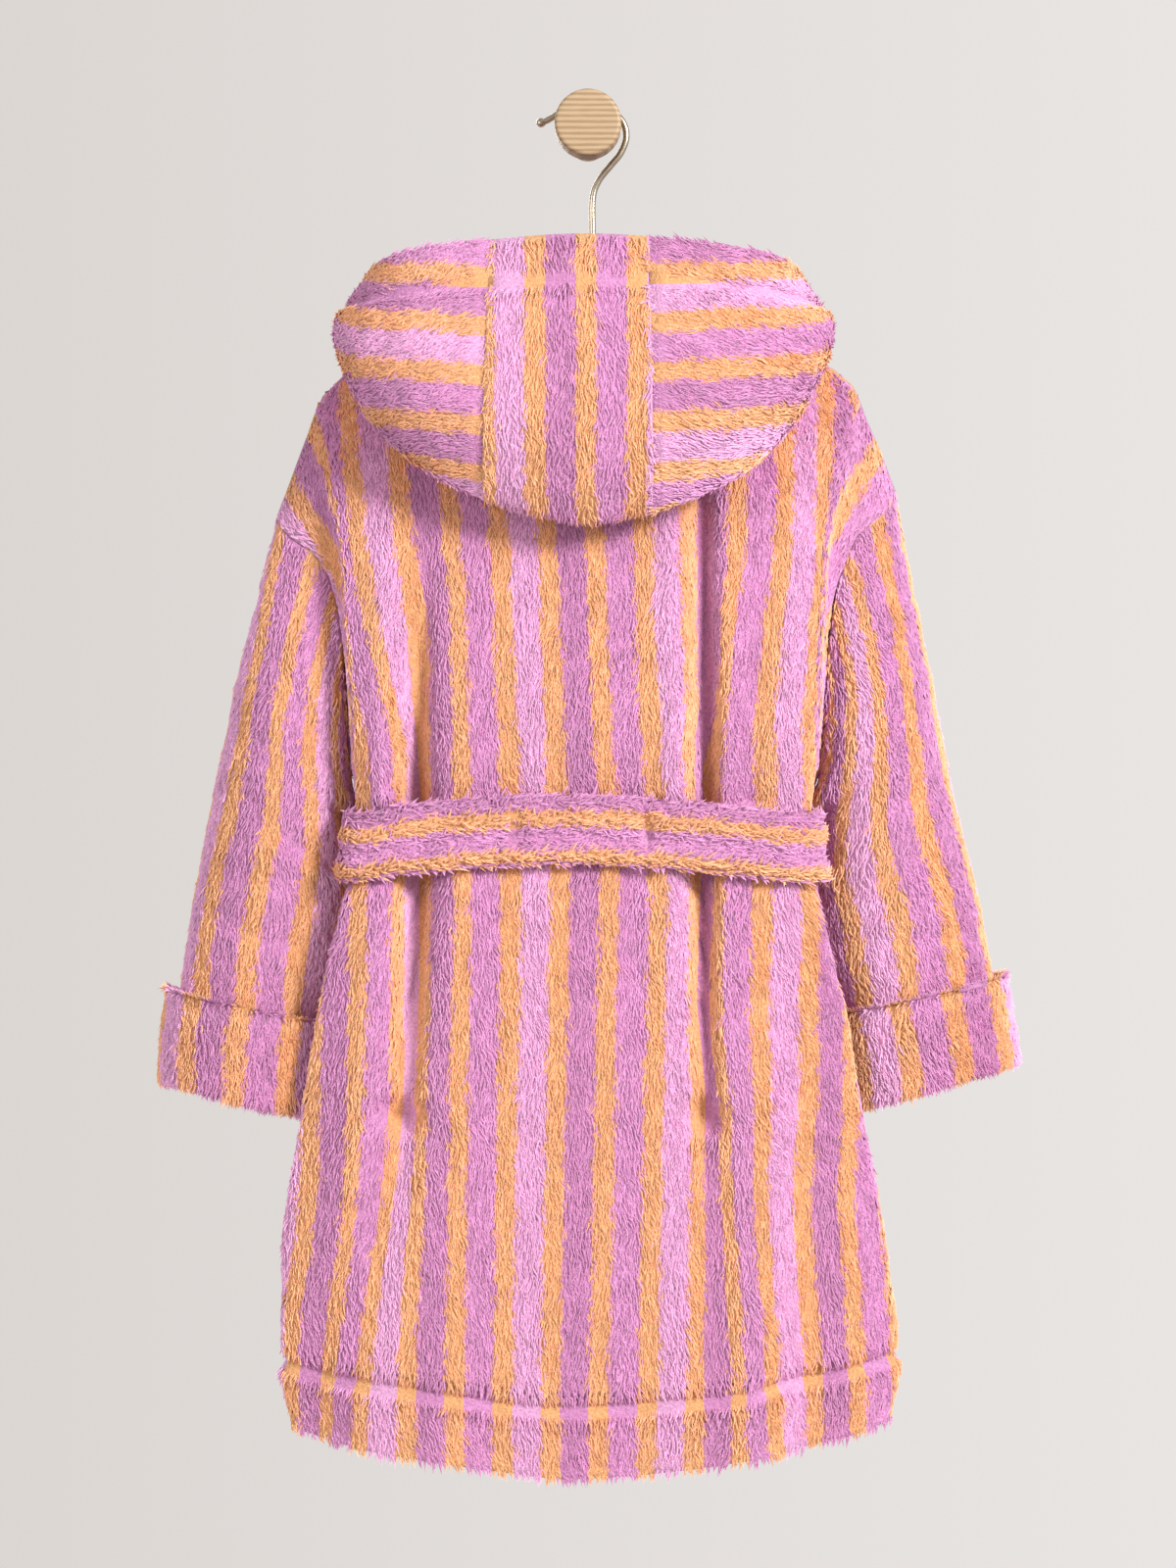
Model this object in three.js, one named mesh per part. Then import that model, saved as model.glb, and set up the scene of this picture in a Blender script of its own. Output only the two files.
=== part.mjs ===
// A child's hooded fleece dressing gown on a wire-hooked hanger, hung from a round wooden wall peg.
// Millimetres, +Z up. The wall is the plane y = 0, the origin is the middle of the peg's back face, and
// the gown's back faces -Y. Left and right are those of a person looking along +Y.
import * as THREE from 'three';

// Driving dimensions
const WALL = 4; // fleece with its pile
const HEM_WALL = 6.5; // where the hem is turned up inside
const GAP = 0.3; // between two pieces at a seam
const SEAM_Y = -52; // upright plane of the hanger, the shoulder seams and the side seams
const NECK_HALF_WIDTH = 62;
const LAP_CLEARANCE = 0.8; // between the two fronts where they lap
const BELT_WIDTH = 45;
const BELT_THICKNESS = 10;
const CUFF_STAND = 8.5; // how far the turned-back cuff stands off the sleeve
const WIRE_RADIUS = 2;
const PEG_KNOB_RADIUS = 20.2;
const PEG_STEM_RADIUS = 12;
const PEG_LENGTH = 84;
const PEG_KNOB_LENGTH = 24;

const fleece = (color) => new THREE.MeshStandardMaterial({ color, roughness: 0.95, metalness: 0 });
const PINK = fleece(0xd993c4);
const LILAC = fleece(0xc984b8);
const ORANGE = fleece(0xeaa781);
const STEEL = new THREE.MeshStandardMaterial({ color: 0xb9b2a6, roughness: 0.3, metalness: 1 });
const BEECH = new THREE.MeshStandardMaterial({ color: 0xccac86, roughness: 0.6, metalness: 0 });

const gown = new THREE.Group();
const vector = (x, y, z) => new THREE.Vector3(x, y, z);
const mix = (a, b, t) => a + (b - a) * t;
const smooth = (t) => {
  const s = Math.min(1, Math.max(0, t));
  return s * s * (3 - 2 * s);
};

// ---------------------------------------------------------------- tables and curves

// A table is a line of column names and a row for each section.
function table(columns, rows) {
  return rows.map((row) => Object.fromEntries(columns.map((name, i) => [name, row[i]])));
}

// The value of a column at a row number with a fraction, on a curve that never overshoots its rows.
function at(rows, name, v) {
  const last = rows.length - 1;
  const i = Math.min(last - 1, Math.max(0, Math.floor(v)));
  const t = v - i;
  const y = (k) => rows[k][name];
  const step = (k) => y(k + 1) - y(k);
  const slope = (k) => {
    if (k === 0 || k === last) return step(k === 0 ? 0 : last - 1);
    const a = step(k - 1);
    const b = step(k);
    return a * b <= 0 ? 0 : (2 * a * b) / (a + b);
  };
  const t2 = t * t;
  const t3 = t2 * t;
  return y(i) * (2 * t3 - 3 * t2 + 1) + slope(i) * (t3 - 2 * t2 + t)
    + y(i + 1) * (3 * t2 - 2 * t3) + slope(i + 1) * (t3 - t2);
}

// A point on the curve that passes through all the given points, which lie at u = 0, 1, 2 ...
function through(points, u) {
  const last = points.length - 1;
  const i = Math.min(last - 1, Math.max(0, Math.floor(u)));
  const t = u - i;
  const b = points[i];
  const c = points[i + 1];
  const a = i > 0 ? points[i - 1] : b.clone().multiplyScalar(2).sub(c);
  const d = i + 1 < last ? points[i + 2] : c.clone().multiplyScalar(2).sub(b);
  const weight = [
    -t * t * t + 2 * t * t - t,
    3 * t * t * t - 5 * t * t + 2,
    -3 * t * t * t + 4 * t * t + t,
    t * t * t - t * t,
  ];
  const sum = vector(0, 0, 0);
  [a, b, c, d].forEach((point, k) => sum.addScaledVector(point, weight[k] / 2));
  return sum;
}

// Evenly spaced values over each stretch between whole numbers, as many as its count says.
function steps(counts, first = 0) {
  const values = [first];
  counts.forEach((count, i) => {
    for (let k = 1; k <= count; k++) values.push(first + i + k / count);
  });
  return values;
}

// ---------------------------------------------------------------- walls

// The outward normals of a grid of points: across its rows by its columns, in that turning sense.
function gridNormals(grid, ring = false) {
  const rows = grid.length;
  const cols = grid[0].length;
  return grid.map((row, i) => row.map((_, j) => {
    const up = grid[Math.max(0, i - 1)][j];
    const down = grid[Math.min(rows - 1, i + 1)][j];
    const before = ring ? row[(j + cols - 1) % cols] : row[Math.max(0, j - 1)];
    const after = ring ? row[(j + 1) % cols] : row[Math.min(cols - 1, j + 1)];
    return after.clone().sub(before).cross(up.clone().sub(down)).normalize();
  }));
}

function addMesh(name, points, faces, material) {
  const geometry = new THREE.BufferGeometry();
  const places = points.flatMap((p) => [p.x, p.y, p.z]);
  geometry.setAttribute('position', new THREE.Float32BufferAttribute(places, 3));
  geometry.setIndex(faces);
  geometry.computeVertexNormals();
  const mesh = new THREE.Mesh(geometry, material);
  mesh.name = name;
  gown.add(mesh);
}

// A closed body between an outer and an inner grid. With ring, the columns close on themselves.
function sheetMesh(name, outer, inner, material, ring = false) {
  const rows = outer.length;
  const cols = outer[0].length;
  const out = (i, j) => i * cols + (j % cols);
  const inn = (i, j) => rows * cols + out(i, j);
  const faces = [];
  const points = [...outer.flat(), ...inner.flat()];
  const quad = (a, b, c, d) => {
    // The shorter diagonal, so that two edges that face each other are split alike.
    const split = points[a].distanceTo(points[c]) <= points[b].distanceTo(points[d]) + 1e-6;
    faces.push(...(split ? [a, b, c, a, c, d] : [a, b, d, b, c, d]));
  };
  const spans = ring ? cols : cols - 1;
  for (let j = 0; j < spans; j++) {
    for (let i = 0; i < rows - 1; i++) {
      quad(out(i, j), out(i + 1, j), out(i + 1, j + 1), out(i, j + 1));
      quad(inn(i, j), inn(i, j + 1), inn(i + 1, j + 1), inn(i + 1, j));
    }
    quad(out(0, j), out(0, j + 1), inn(0, j + 1), inn(0, j));
    quad(out(rows - 1, j), inn(rows - 1, j), inn(rows - 1, j + 1), out(rows - 1, j + 1));
  }
  for (let i = 0; i < rows - 1 && !ring; i++) {
    quad(out(i, 0), inn(i, 0), inn(i + 1, 0), out(i + 1, 0));
    quad(out(i, cols - 1), out(i + 1, cols - 1), inn(i + 1, cols - 1), inn(i, cols - 1));
  }
  addMesh(name, points, faces, material);
}

// The grid moved inwards along its normals by the wall's thickness in each row.
function moved(grid, normals, distance) {
  return grid.map((row, i) => row.map((p, j) => p.clone().addScaledVector(normals[i][j], distance(i))));
}

// ---------------------------------------------------------------- body sections

// One row for each level of the body, from the shoulder seam to the hem. z: height at the middle of the
// back; throat: how much lower the front lies there; follow: 1 where the level has the shoulder's slope,
// 0 where it has the hem's; drop: the edge's height under the middle; edge: x of the armhole or side
// seam; edgeY: its depth in the back; ridge: x and depth of the upright fold that bounds the back; flat:
// where the back turns flat, as a share of the ridge; round: how full it is there; backY and frontY: the
// depths at the middle; lap: how far each front passes the middle.
const BODY = table(
  ['z', 'throat', 'follow', 'dropL', 'dropR', 'edgeL', 'edgeR', 'edgeY', 'ridgeL', 'ridgeR', 'ridgeY',
    'flat', 'round', 'backY', 'frontY', 'lap'],
  [
    [-114, 54, 1.0, -122, -107, -190, 188, -52, -150, 150, -52, 0.413, 0.0, -69, -13, -4], // shoulder
    [-134, 44, 0.8, -109, -95, -187, 185, -61, -151, 150, -68, 0.49, 0.6, -79, -12, -2], // yoke
    [-164, 30, 0.55, -88, -75, -178, 176, -67, -150, 147, -82, 0.57, 0.8, -90, -11, 6], // blade
    [-200, 16, 0.3, -62, -51, -165, 163, -70, -147, 143, -88, 0.61, 0.85, -96, -10, 20], // scye
    [-245, 8, 0.1, -40, -36, -154, 151, -71, -144, 140, -91, 0.63, 0.85, -99, -11, 32], // chest
    [-300, 2, 0, -24, -24, -148, 145, -70, -143, 139, -93, 0.63, 0.85, -101, -13, 42], // ribs
    [-350, 0, 0, -12, -12, -146, 143, -62, -140, 137.5, -94, 0.63, 0.85, -101, -16, 50], // low armhole
    [-382, 0, 0, -2, -2, -147, 144, -52, -138, 135, -93, 0.63, 0.85, -99, -20, 55], // underarm
    [-400, 0, 0, 0, 0, -139, 136, -52, -138, 133, -91, 0.63, 0.85, -96, -24, 58], // side
    [-433, 0, 0, 0, 0, -136, 132, -52, -136, 131, -86, 0.63, 0.85, -91, -30, 62], // waist
    [-480, 0, 0, 0, 0, -140, 134, -52, -148, 140, -88, 0.63, 0.85, -97, -23, 64], // hip
    [-535, 0, 0, 2, 2, -140, 134, -52, -161, 154, -87, 0.63, 0.9, -102, -19, 65], // seat
    [-610, 0, 0, 8, 9, -142, 138, -52, -173, 166, -87, 0.63, 0.95, -105, -18, 66], // thigh
    [-700, 0, 0, 21, 24, -156, 153, -52, -184, 180, -84, 0.63, 0.98, -107, -17, 67], // knee
    [-774, 0, 0, 36, 42, -162, 164, -52, -184, 186, -83, 0.63, 1.0, -107, -15, 68], // hem stitching
    [-819, 0, 0, 38, 45, -154, 160, -52, -174, 179, -82, 0.63, 1.0, -105, -13, 68], // hem
  ],
);
const SEAM_CALM = 24; // folds die out over this depth towards the seams
const UNDERARM = 7;
const WAIST = 9;
const HEM_STITCHING = 14;
// How much of its edge's drop a level has at the edge, foot, ridge, flat and middle of a side.
const SHOULDER_SHAPE = [1, 0.6, 0.3, -0.05, 0];
const HEM_SHAPE = [1, 0.85, 0.7, 0.33, 0];

// Folds of the back. Each is a soft trough (depth over 0, inwards) or ridge (under 0) that runs from its
// top to its bottom point, half as wide as its width at half depth.
const FOLD_COLUMNS = ['topX', 'topZ', 'bottomX', 'bottomZ', 'width', 'topDepth', 'bottomDepth'];
const BACK_FOLDS = table(FOLD_COLUMNS, [
  [-100, -250, -104, -408, 12, 2, 15], // left trough above the belt
  [-118, -230, -121, -408, 14, -2, -5], // ridge left of it
  [66, -215, 71, -410, 10, 8, 14], // right trough above the belt
  [53, -215, 56, -405, 14, -3, -4], // ridge left of it
  [108, -260, 96, -408, 13, 2, 7], // second right trough
  [-102, -456, -112, -600, 12, 13, 9], // left trough below the belt
  [-112, -600, -132, -720, 16, 9, 2], // the same, fading
  [-124, -470, -142, -640, 14, -4, -5], // ridge left of it
  [68, -456, 70, -600, 9, 12, 8], // right trough below the belt
  [70, -600, 78, -760, 14, 8, 3], // the same, fading
  [99, -560, 100, -800, 20, -3, -6], // ridge right of it
  [128, -560, 131, -800, 14, 3, 9], // trough near the right side
  [-60, -640, -64, -810, 22, 0, 4], // shallow trough, left of the middle
  [20, -600, 24, -815, 26, 0, 3], // shallow trough, right of the middle
  [-158, -690, -160, -800, 14, 2, 6], // trough near the left side
]);
const FRONT_FOLDS = table(FOLD_COLUMNS, [
  [-96, -240, -92, -405, 13, 2, 9], // left, above the belt
  [92, -250, 88, -405, 13, 2, 8], // right, above the belt
  [-90, -462, -104, -700, 15, 9, 3], // left, below the belt
  [94, -462, 108, -720, 15, 8, 3], // right, below the belt
]);

// How far the folds move a point inwards: the sum over the folds of a bell across its line.
function foldDepth(folds, x, z) {
  const fade = 18; // length over which a fold starts and ends
  return folds.reduce((sum, fold) => {
    const down = (fold.topZ - z) / (fold.topZ - fold.bottomZ);
    const ends = smooth((fold.topZ + fade - z) / fade) * smooth((z - fold.bottomZ + fade) / fade);
    const t = Math.min(1, Math.max(0, down));
    const across = (x - mix(fold.topX, fold.bottomX, t)) / fold.width;
    return sum + mix(fold.topDepth, fold.bottomDepth, t) * ends * Math.exp(-across * across);
  }, 0);
}

// Where the foot lies on the way from the edge to the ridge, across and in depth.
const FOOT = { back: [0.45, 0.4], front: [0.5, 0.3] };
// The front's own shape. edge: its armhole's depth as a share of the back's; side: its side's width as a
// share of the back's; throat: the flat point's share of the throat's drop; deep: how far its side has
// come forward, at the yoke and from two rows under it down.
const FRONT = { edge: 0.9, side: 0.985, throat: 0.1, deep: [0.34, 0.72] };

// The five points that shape one side of a level: edge, foot, ridge, flat and middle.
function sidePoints(v, left, front) {
  const get = (name) => at(BODY, name, v);
  const shape = SHOULDER_SHAPE.map((share, k) => mix(HEM_SHAPE[k], share, get('follow')));
  const z = shape.map((share) => get('z') + share * get(left ? 'dropL' : 'dropR'));
  const edgeX = get(left ? 'edgeL' : 'edgeR');
  const ridgeX = get(left ? 'ridgeL' : 'ridgeR');
  const backEdgeY = v >= UNDERARM ? SEAM_Y : get('edgeY');
  const five = (edgeY, sideX, sideY, middleY, [across, deep], flatDrop, middleDrop) => [
    vector(edgeX, edgeY, z[0]),
    vector(mix(edgeX, sideX, across), mix(edgeY, sideY, deep), z[1]),
    vector(sideX, sideY, z[2]),
    vector(sideX * get('flat'), mix(sideY, middleY, get('round')), z[3] - flatDrop),
    vector(0, middleY, z[4] - middleDrop),
  ];
  if (!front) return five(backEdgeY, ridgeX, get('ridgeY'), get('backY'), FOOT.back, 0, 0);
  const begun = Math.min(1, v);
  const forward = v < 1 ? FRONT.deep[0] * v : mix(...FRONT.deep, smooth((v - 1) / 2));
  const width = Math.min(Math.abs(edgeX), Math.abs(ridgeX)) * mix(1, FRONT.side, begun);
  return five(
    SEAM_Y + (SEAM_Y - backEdgeY) * FRONT.edge,
    Math.sign(edgeX) * width,
    mix(SEAM_Y, get('frontY'), forward),
    get('frontY'),
    FOOT.front,
    get('throat') * FRONT.throat * begun,
    get('throat'),
  );
}

// A point of the whole back or front at u across (0 left edge, 4 middle, 8 right edge) and v down.
function bodyPoint(u, v, front) {
  const left = sidePoints(v, true, front);
  const right = sidePoints(v, false, front).slice(0, 4).reverse();
  const p = through([...left, ...right], u);
  const fold = foldDepth(front ? FRONT_FOLDS : BACK_FOLDS, p.x, p.z);
  p.y += (front ? -1 : 1) * fold * smooth(Math.abs(p.y - SEAM_Y) / SEAM_CALM);
  return p;
}

// The wall's edge at the neck faces outwards all round, for the body and for the hood sewn to it alike.
const NECK_RISE = 0.15; // how much it leans upwards
const NECK_DEPTH = { back: 16, front: 40 }; // from the seams' plane to where it faces straight on
function neckNormal(p) {
  const depth = (p.y - SEAM_Y) / (p.y < SEAM_Y ? NECK_DEPTH.back : NECK_DEPTH.front);
  return vector(p.x / NECK_HALF_WIDTH, Math.min(1, Math.max(-1, depth)), NECK_RISE).normalize();
}

const ROWS = steps([1, 1, 1, 1, 2, 1, 1, 1, 2, 2, 2, 2, 2, 2, 2]);
const UNDERARM_ROW = ROWS.indexOf(UNDERARM);
const isNeck = (i, u) => i === 0 && u >= 3 && u <= 5;

// Outer points and outward normals of a body panel, with half a gap to the plane of its seams.
function bodyPanel(front, columnsAt, lift) {
  const across = ROWS.map((v) => columnsAt(v));
  const outer = ROWS.map((v, i) => across[i].map((u) => {
    const p = bodyPoint(u, v, front);
    p.y += lift(p.x, v);
    p.y = front ? Math.max(p.y, SEAM_Y + GAP / 2) : Math.min(p.y, SEAM_Y - GAP / 2);
    return p;
  }));
  const normals = gridNormals(outer).map((row, i) => row.map((n, j) => {
    const outward = front ? n.negate() : n;
    const u = across[i][j];
    if (isNeck(i, u)) return neckNormal(outer[i][j]);
    if ((u === 0 || u === 8) && i >= UNDERARM_ROW) return vector(u === 0 ? -1 : 1, 0, 0);
    return i === 0 ? outward.setY(0).normalize() : outward;
  }));
  return { outer, normals };
}

const ACROSS_BACK = steps([3, 3, 6, 11, 11, 6, 3, 3]);
const back = bodyPanel(false, () => ACROSS_BACK, () => 0);

// The left front lies inside the right one, which is lifted clear of it where they lap.
const FRONT_STEPS = [2, 2, 3];
const LAP_STEPS = 10;
function frontColumns(v, left) {
  const flatX = Math.abs(at(BODY, 'ridgeL', v)) * at(BODY, 'flat', v);
  const end = 4 + at(BODY, 'lap', v) / flatX;
  const values = steps(FRONT_STEPS);
  for (let k = 1; k <= LAP_STEPS; k++) values.push(mix(3, end, k / LAP_STEPS));
  return left ? values : values.map((u) => 8 - u).reverse();
}
const LAP_RAMP = { from: 118, run: 40 }; // x where the right front starts to lift, and over what width
const wallAt = (v) => mix(WALL, HEM_WALL, smooth(v - HEM_STITCHING));
const lapLift = (x, v) => (
  (wallAt(v) + LAP_CLEARANCE) * smooth((LAP_RAMP.from - x) / LAP_RAMP.run) * smooth(v)
);
const frontLeft = bodyPanel(true, (v) => frontColumns(v, true), () => 0);
const frontRight = bodyPanel(true, (v) => frontColumns(v, false), lapLift);

// ---------------------------------------------------------------- sleeves and cuffs

// One row for each ring of a sleeve: its outermost and innermost points, its middle's depth and half of
// its depth. The first ring is the armhole.
const SLEEVE_COLUMNS = ['outX', 'outZ', 'inX', 'inZ', 'y', 'depth'];
const SLEEVES = {
  left: table(SLEEVE_COLUMNS, [
    [-190, -236, -147, -384, -52, 20], // armhole
    [-207, -302, -151, -400, -51, 33], // upper arm
    [-222, -366, -152, -428, -49, 36], // elbow
    [-234, -425, -153, -462, -47, 35], // forearm
    [-244, -478, -157, -500, -45, 32], // wrist
    [-251, -526, -164, -546, -44, 30], // top of the cuff
    [-256, -578, -168, -599, -44, 30], // end
  ]),
  right: table(SLEEVE_COLUMNS, [
    [188, -221, 144, -384, -52, 20],
    [203, -296, 147, -399, -51, 33],
    [217, -366, 147.5, -426, -49, 36],
    [229, -425, 148, -459, -47, 35],
    [242, -478, 152, -496, -45, 32],
    [249, -518, 158, -540, -44, 30],
    [257, -566, 162, -595, -44, 30],
  ]),
};
const CUFF_TOP = 5; // row of the sleeve where the cuff starts
const SLEEVE_SETTLES = 1.6; // rows over which the sleeve leaves the armhole's own shape

// The armhole's points, round from the tip of the shoulder down the back and up the front.
function armhole(left) {
  const front = left ? frontLeft : frontRight;
  const place = (panel, row) => ({ panel, row, column: left ? 0 : panel.outer[0].length - 1 });
  const loop = [];
  for (let i = 0; i <= UNDERARM_ROW; i++) loop.push(place(back, i));
  for (let i = UNDERARM_ROW - 1; i > 0; i--) loop.push(place(front, i));
  return loop;
}

// A ring of the sleeve at row v: half a turn from its outermost to its innermost point, on each side.
function sleeveRing(rows, v, count) {
  const get = (name) => at(rows, name, v);
  const outermost = vector(get('outX'), get('y'), get('outZ'));
  const innermost = vector(get('inX'), get('y'), get('inZ'));
  const middle = outermost.clone().add(innermost).divideScalar(2);
  const reach = outermost.clone().sub(middle);
  return Array.from({ length: count }, (_, k) => {
    const angle = (2 * Math.PI * k) / count;
    const p = middle.clone().addScaledVector(reach, Math.cos(angle));
    p.y -= get('depth') * Math.sin(angle);
    return p;
  });
}

function sleeve(side) {
  const left = side === 'left';
  const rows = SLEEVES[side];
  const loop = armhole(left);
  const start = loop.map(({ panel, row, column }) => {
    const p = panel.outer[row][column].clone();
    if (row === 0 || row === UNDERARM_ROW) p.y = SEAM_Y;
    return p;
  });
  const first = sleeveRing(rows, 0, loop.length);
  const along = steps([3, 2, 2, 2, 2, 3]);
  const outer = along.map((v) => {
    const settle = Math.max(0, 1 - v / SLEEVE_SETTLES) ** 2;
    return sleeveRing(rows, v, loop.length).map((p, k) => (
      p.addScaledVector(start[k].clone().sub(first[k]), settle)
    ));
  });
  const turn = left ? -1 : 1;
  const normals = gridNormals(outer, true).map((row) => row.map((n) => n.multiplyScalar(-turn)));
  // At the armhole the sleeve and the body share one mitred edge.
  loop.forEach(({ panel, row, column }, k) => {
    const edge = panel.normals[row][column].clone().add(normals[0][k]);
    if (row === 0 || row === UNDERARM_ROW) edge.setY(0);
    edge.normalize();
    panel.normals[row][column].copy(edge);
    normals[0][k].copy(edge);
    if (row === 0 || row === UNDERARM_ROW) {
      const twin = left ? frontLeft : frontRight;
      twin.normals[row][left ? 0 : twin.outer[0].length - 1].copy(edge);
    }
  });
  // Its first ring lies a gap away from the body's edge.
  const ring = outer[0];
  const last = ring.length - 1;
  outer[0] = ring.map((p, k) => {
    const onward = ring[k < last ? k + 1 : 0].clone().sub(ring[k > 0 ? k - 1 : last]);
    const away = onward.cross(normals[0][k]).normalize();
    const sense = Math.sign(away.dot(outer[1][k].clone().sub(p)));
    return p.clone().addScaledVector(away, GAP * sense);
  });
  const inner = moved(outer, normals, () => -WALL);
  const order = (grid) => (left ? grid : grid.map((row) => [...row].reverse()));
  sheetMesh(`sleeve_${side}`, order(outer), order(inner), LILAC, true);
  return { outer, normals, along };
}

// A turned-back cuff. One row for each ring of its outer and of its inner face, from the cuff's free edge
// down, round the fold and into the sleeve. share: how far along the turned-back length it lies; off: how
// far it stands off the sleeve; past: how much further down it is moved.
const CUFF_COLUMNS = ['share', 'off', 'past'];
const CUFF_OUTER = table(CUFF_COLUMNS, [
  [0, CUFF_STAND, 0],
  [0.4, CUFF_STAND + 0.8, 0],
  [0.7, CUFF_STAND + 0.4, 0.2],
  [0.94, CUFF_STAND - 0.5, 5.1],
  [1, CUFF_STAND - 4.5, 5.6],
  [1, -WALL, 5.6],
]);
const CUFF_INNER = table(CUFF_COLUMNS, [
  [0, CUFF_STAND - WALL, 0],
  [0.4, CUFF_STAND - WALL, 0],
  [0.7, 2, 0],
  [1, 1.2, -3],
  [1, 0.4, 0.5],
  [1, -WALL, 0.5],
]);

function cuff(side, { outer, normals, along }) {
  const firstRow = along.indexOf(CUFF_TOP);
  const lastRow = along.length - 1;
  const end = outer[lastRow];
  const down = end.map((p, k) => p.clone().sub(outer[lastRow - 1][k]).normalize());
  const ring = ({ share, off, past }) => {
    const row = mix(firstRow, lastRow, share);
    const i = Math.min(lastRow - 1, Math.floor(row));
    const points = end.map((_, k) => {
      const n = normals[i][k].clone().lerp(normals[i + 1][k], row - i).normalize();
      const p = outer[i][k].clone().lerp(outer[i + 1][k], row - i);
      return p.addScaledVector(n, off).addScaledVector(down[k], past);
    });
    return side === 'left' ? points : points.reverse();
  };
  sheetMesh(`cuff_${side}`, CUFF_OUTER.map(ring), CUFF_INNER.map(ring), ORANGE, true);
}

const sleeves = { left: sleeve('left'), right: sleeve('right') };
cuff('left', sleeves.left);
cuff('right', sleeves.right);

// ---------------------------------------------------------------- body panels as walls

const thickness = (i) => -wallAt(ROWS[i]);
function addPanel(name, { outer, normals }, front, material) {
  const inner = moved(outer, normals, thickness);
  const order = (grid) => (front ? grid.map((row) => [...row].reverse()) : grid);
  sheetMesh(name, order(outer), order(inner), material);
}
addPanel('back', back, false, PINK);
addPanel('front_left', frontLeft, true, PINK);
addPanel('front_right', frontRight, true, LILAC);

// ---------------------------------------------------------------- hood

// One row for each station round the neckline, from the middle of the back (0) to the front (1). The
// hood stands up from its seam, falls back under itself, turns at its lowest fold and rises over its
// belly to the face opening's rim, which is the uppermost edge.
const HOOD_SIDE = table(
  ['at', 'standX', 'standY', 'standZ', 'underX', 'underY', 'underZ', 'lowX', 'lowY', 'lowZ',
    'bellyX', 'bellyY', 'bellyZ', 'rimX', 'rimY', 'rimZ'],
  [
    [0, 0, -80, -107, 0, -104, -165, 0, -124, -246, 0, -152, -188, 0, -134, -74],
    [0.2, 38, -77, -106, 62, -102, -152, 84, -121, -221, 86, -149, -172, 80, -131, -80],
    [0.36, 63, -64, -98, 98, -88, -128, 128, -108, -180, 138, -126, -142, 118, -118, -86],
    [0.5, 64, -52, -97, 96, -65, -105, 141, -92, -138, 150, -102, -123, 128, -99, -91],
    [0.58, 54, -41, -104, 80, -48, -98, 112, -64, -104, 124, -72, -103, 132, -78, -96],
    [0.66, 42, -33, -112, 60, -33, -102, 82, -40, -97, 94, -45, -94, 102, -49, -92],
    [0.75, 29, -25, -126, 37, -21, -116, 46, -20, -108, 52, -20, -103, 58, -20, -98],
    [1, 5, -10, -159, 6, -8, -151, 7, -7, -143, 8, -7, -136, 9, -7, -129],
  ],
);
const HOOD_LEFT_REACH = 1.02; // the hood hangs a little to the left
const HOOD_RIGHT_REACH = 0.985;
const HOOD_PANEL_SEAM = 6; // columns of the back neck from its middle to each seam of the centre panel
const HOOD_SEAM_AT = { left: 0.133, right: 0.084 }; // stations of those seams past the under layer

const mirrored = (row, reach) => Object.fromEntries(Object.entries(row).map(([name, value]) => (
  [name, name.endsWith('X') || name === 'at' ? value * (name === 'at' ? Math.sign(reach) : reach) : value]
)));
const HOOD = [
  ...HOOD_SIDE.slice(1).reverse().map((row) => mirrored(row, -HOOD_LEFT_REACH)),
  ...HOOD_SIDE.map((row) => mirrored(row, HOOD_RIGHT_REACH)),
];

// The neckline's points, from the left front round the back to the right front.
const neckEnd = FRONT_STEPS.reduce((a, b) => a + b);
const backNeck = back.outer[0].filter((_, j) => ACROSS_BACK[j] >= 3 && ACROSS_BACK[j] <= 5);
const neckline = [
  ...frontLeft.outer[0].slice(neckEnd + 1).reverse(),
  ...backNeck.map((p) => (Math.abs(p.y - SEAM_Y) < GAP ? p.clone().setY(SEAM_Y) : p)),
  ...frontRight.outer[0].slice(0, LAP_STEPS).reverse(),
];
const neckMiddle = (neckline.length - 1) / 2;
const runs = neckline.map((_, j) => {
  const [from, to] = j < neckMiddle ? [j, neckMiddle] : [neckMiddle, j];
  let length = 0;
  for (let k = from; k < to; k++) length += neckline[k].distanceTo(neckline[k + 1]);
  return j < neckMiddle ? -length : length;
});
const stationOfColumn = runs.map((run) => run / runs[runs.length - 1]);

// The row of the hood's table, with a fraction, that lies at a station.
function hoodRow(station) {
  const i = Math.max(0, Math.min(HOOD.length - 2, HOOD.findIndex((row) => row.at > station) - 1));
  const j = station >= 1 ? HOOD.length - 2 : i;
  return j + (station - HOOD[j].at) / (HOOD[j + 1].at - HOOD[j].at);
}

const hoodRings = steps([2, 2, 3, 3, 2]);
const hoodGrid = hoodRings.map((r) => neckline.map((seamPoint, j) => {
  const own = Math.abs(stationOfColumn[j]);
  const right = j > neckMiddle;
  const seamColumn = neckMiddle + (right ? HOOD_PANEL_SEAM : -HOOD_PANEL_SEAM);
  const seamStation = Math.abs(stationOfColumn[seamColumn]);
  const hat = own < seamStation ? own / seamStation : (1 - own) / (1 - seamStation);
  const shift = (HOOD_SEAM_AT[right ? 'right' : 'left'] - seamStation) * hat * smooth(r / 2);
  const row = hoodRow((own + shift) * (right ? 1 : -1));
  const get = (name) => vector(...['X', 'Y', 'Z'].map((axis) => at(HOOD, name + axis, row)));
  return through([seamPoint.clone(), ...['stand', 'under', 'low', 'belly', 'rim'].map(get)], r);
}));
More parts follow.
